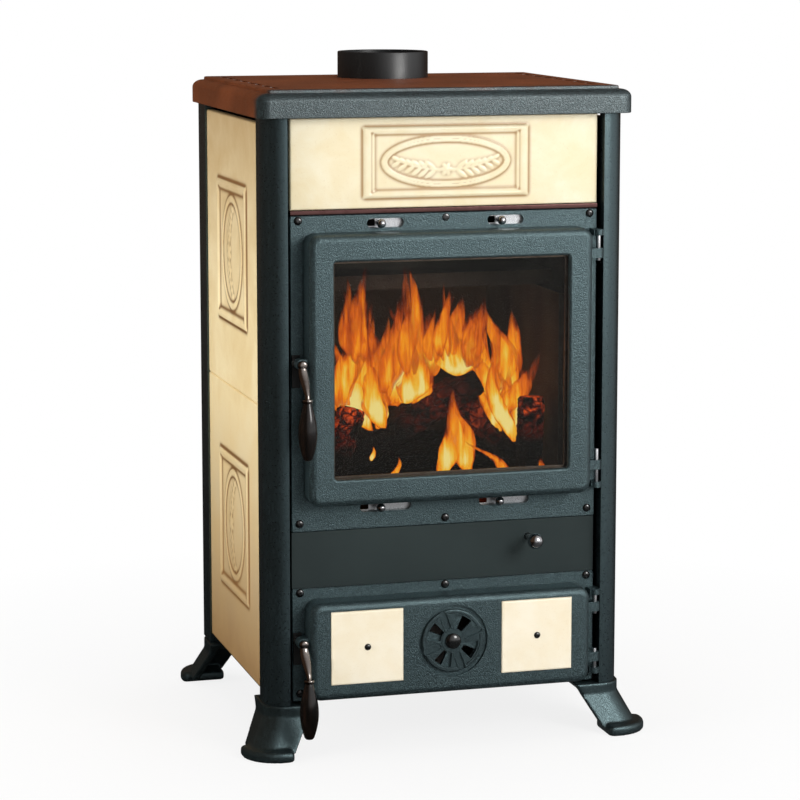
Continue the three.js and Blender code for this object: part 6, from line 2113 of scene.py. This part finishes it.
@dataclass
class Studio:
    """Floor, white surroundings, lamps and the camera of the photograph."""

    turn: float = 15.875
    pitch: float = 8.473
    distance: float = 3.9456
    lens: float = 125.383
    shift: float = -0.05
    target: Point = (-0.009308, 0.0, 0.501193)

    def build(self) -> None:
        """Sets the stage."""
        self.floor()
        self.world()
        self.lamp("key_softbox", (1.15, -2.0, 1.35), (0, 0, 0.6), 1.0, 26, (1.0, 0.99, 0.97))
        matt_only = (
            self.lamp("front_softbox", (1.6, -2.6, 1.6), (0, 0, 0.3), 1.5, 11, (1.0, 0.99, 0.97)),
            self.lamp("left_softbox", (-3.0, -0.5, 0.9), (0, 0, 0.5), 1.4, 58, (1.0, 0.97, 0.9)),
            self.lamp("top_softbox", (0.2, 0.3, 2.8), (0, 0, 0.9), 1.4, 30, (1.0, 1.0, 1.0)),
        )
        for lamp in matt_only:
            lamp.visible_glossy = False
        self.camera()

    def surroundings(self, bench: Bench, way: Socket) -> Socket:
        """How bright the studio is for shiny things: white ahead and to the right, dark elsewhere.

        Args:
            bench: the tree.
            way: the direction looked in.

        Returns:
            The level, 1 for white.
        """
        unit = bench.add("ShaderNodeVectorMath", {0: way}, operation="NORMALIZE").outputs[0]

        def towards(aim: Point, low: float, high: float, level: float) -> Socket:
            """A patch of light round one direction."""
            share = bench.add("ShaderNodeVectorMath", {0: unit, 1: Vector(aim).normalized()},
                              operation="DOT_PRODUCT")
            return bench.span(share.outputs["Value"], low, high, 0.0, level)

        ahead = towards((0.62, -0.74, 0.2), 0.3, 0.97, 1.0)
        strip = towards((0.93, -0.36, 0.05), 0.93, 0.985, 2.2)
        lit = bench.sum("MAXIMUM", ahead, strip)
        return bench.mix(lit, (0.075, 0.045, 0.028), (1.0, 1.0, 1.0))

    def floor(self) -> None:
        """A pale floor that fades into the white round it."""
        rim = np.vstack([at_level(circle(9000, 0, 0, 128), -0.2), at_level(circle(9000, 0, 0, 128), -2.0)])
        obj = new_object("studio_floor", skin([rim[128:], rim[:128]]))
        material = bpy.data.materials.new("studio_floor")
        material.use_nodes = True
        bench = Bench(material.node_tree)
        where = bench.add("ShaderNodeTexCoord").outputs["Object"]
        away = bench.add("ShaderNodeVectorMath", {0: where}, operation="LENGTH").outputs["Value"]
        path = bench.add("ShaderNodeLightPath")
        seen = bench.sum("MAXIMUM", path.outputs["Is Camera Ray"], path.outputs["Is Transmission Ray"])
        shown = bench.sum("MULTIPLY", seen, bench.span(away, 0.4, 1.1, 0.84, 1.0))
        shiny = path.outputs["Is Glossy Ray"]
        # to shiny things the floor glows with the studio's light, darkened near the stove as painted shade
        shade = bench.span(away, 0.5, 7.0, 0.08, 1.05)
        around = bench.mix(1.0, self.surroundings(bench, where), shade, "MULTIPLY")
        level = bench.mix(shiny, (1.0, 1.0, 1.0), around)
        matt = principled(bench, Base_Color=(0.8, 0.8, 0.8), Roughness=0.9, Specular_IOR_Level=0.1)
        glow = bench.add("ShaderNodeEmission", {"Color": level, "Strength": 1.0}).outputs[0]
        surface = bench.blend(bench.sum("MAXIMUM", shown, shiny), matt, glow)
        bench.add("ShaderNodeOutputMaterial", {"Surface": surface})
        obj.data.materials.append(material)

    def world(self) -> None:
        """White to the camera, directional to shiny things, a plain soft level for the rest."""
        world = bpy.data.worlds.new("studio")
        bpy.context.scene.world = world
        world.use_nodes = True
        bench = Bench(world.node_tree)
        path = bench.add("ShaderNodeLightPath")
        seen = bench.sum("MAXIMUM", path.outputs["Is Camera Ray"], path.outputs["Is Transmission Ray"])
        way = bench.add("ShaderNodeTexCoord").outputs["Generated"]
        shiny = bench.mix(path.outputs["Is Glossy Ray"], (0.4, 0.4, 0.4), self.surroundings(bench, way))
        level = bench.mix(seen, shiny, (1.0, 1.0, 1.0))
        bench.add("ShaderNodeOutputWorld", {
            "Surface": bench.add("ShaderNodeBackground", {"Color": level, "Strength": 1.0}).outputs[0]})

    def lamp(self, name: str, spot: Point, aim: Point, size: float, watts: float,
             colour: Colour) -> bpy.types.Object:
        """Adds a soft lamp.

        Args:
            name: its name.
            spot: where it stands.
            aim: what it points at.
            size: its side.
            watts: its power.
            colour: its colour.

        Returns:
            The lamp.
        """
        data = bpy.data.lights.new(name, "AREA")
        data.shape, data.size, data.energy, data.color = "SQUARE", size, watts, colour
        lamp = bpy.data.objects.new(name, data)
        lamp.location = spot
        lamp.rotation_euler = (Vector(aim) - Vector(spot)).to_track_quat("-Z", "Y").to_euler()
        bpy.context.scene.collection.objects.link(lamp)
        return lamp

    def camera(self) -> None:
        """Puts the camera where the photograph was taken from."""
        a, p = math.radians(self.turn), math.radians(self.pitch)
        ahead = Vector((math.sin(a) * math.cos(p), math.cos(a) * math.cos(p), -math.sin(p)))
        data = bpy.data.cameras.new("photo_camera")
        data.sensor_width, data.lens, data.shift_y = 36.0, self.lens, self.shift
        data.clip_end = 60.0
        camera = bpy.data.objects.new("photo_camera", data)
        camera.location = Vector(self.target) - ahead * self.distance
        camera.rotation_euler = ahead.to_track_quat("-Z", "Y").to_euler()
        bpy.context.scene.collection.objects.link(camera)
        bpy.context.scene.camera = camera


def main() -> None:
    """Builds the stove's looks and the studio round it."""
    logging.basicConfig(level=logging.INFO, format="%(name)s: %(message)s")
    bpy.context.scene.view_settings.view_transform = "Standard"
    for part in (
        TopPlate(), FlueCollar(), Posts(), Feet(), Ceramics(), FixedFront(), FireDoor(), AshDoor(),
        AirSlides(), Shaker(), Inside(), *SCREWS, FireBed(), Studio(),
    ):
        part.build()


if __name__ == "__main__":
    main()
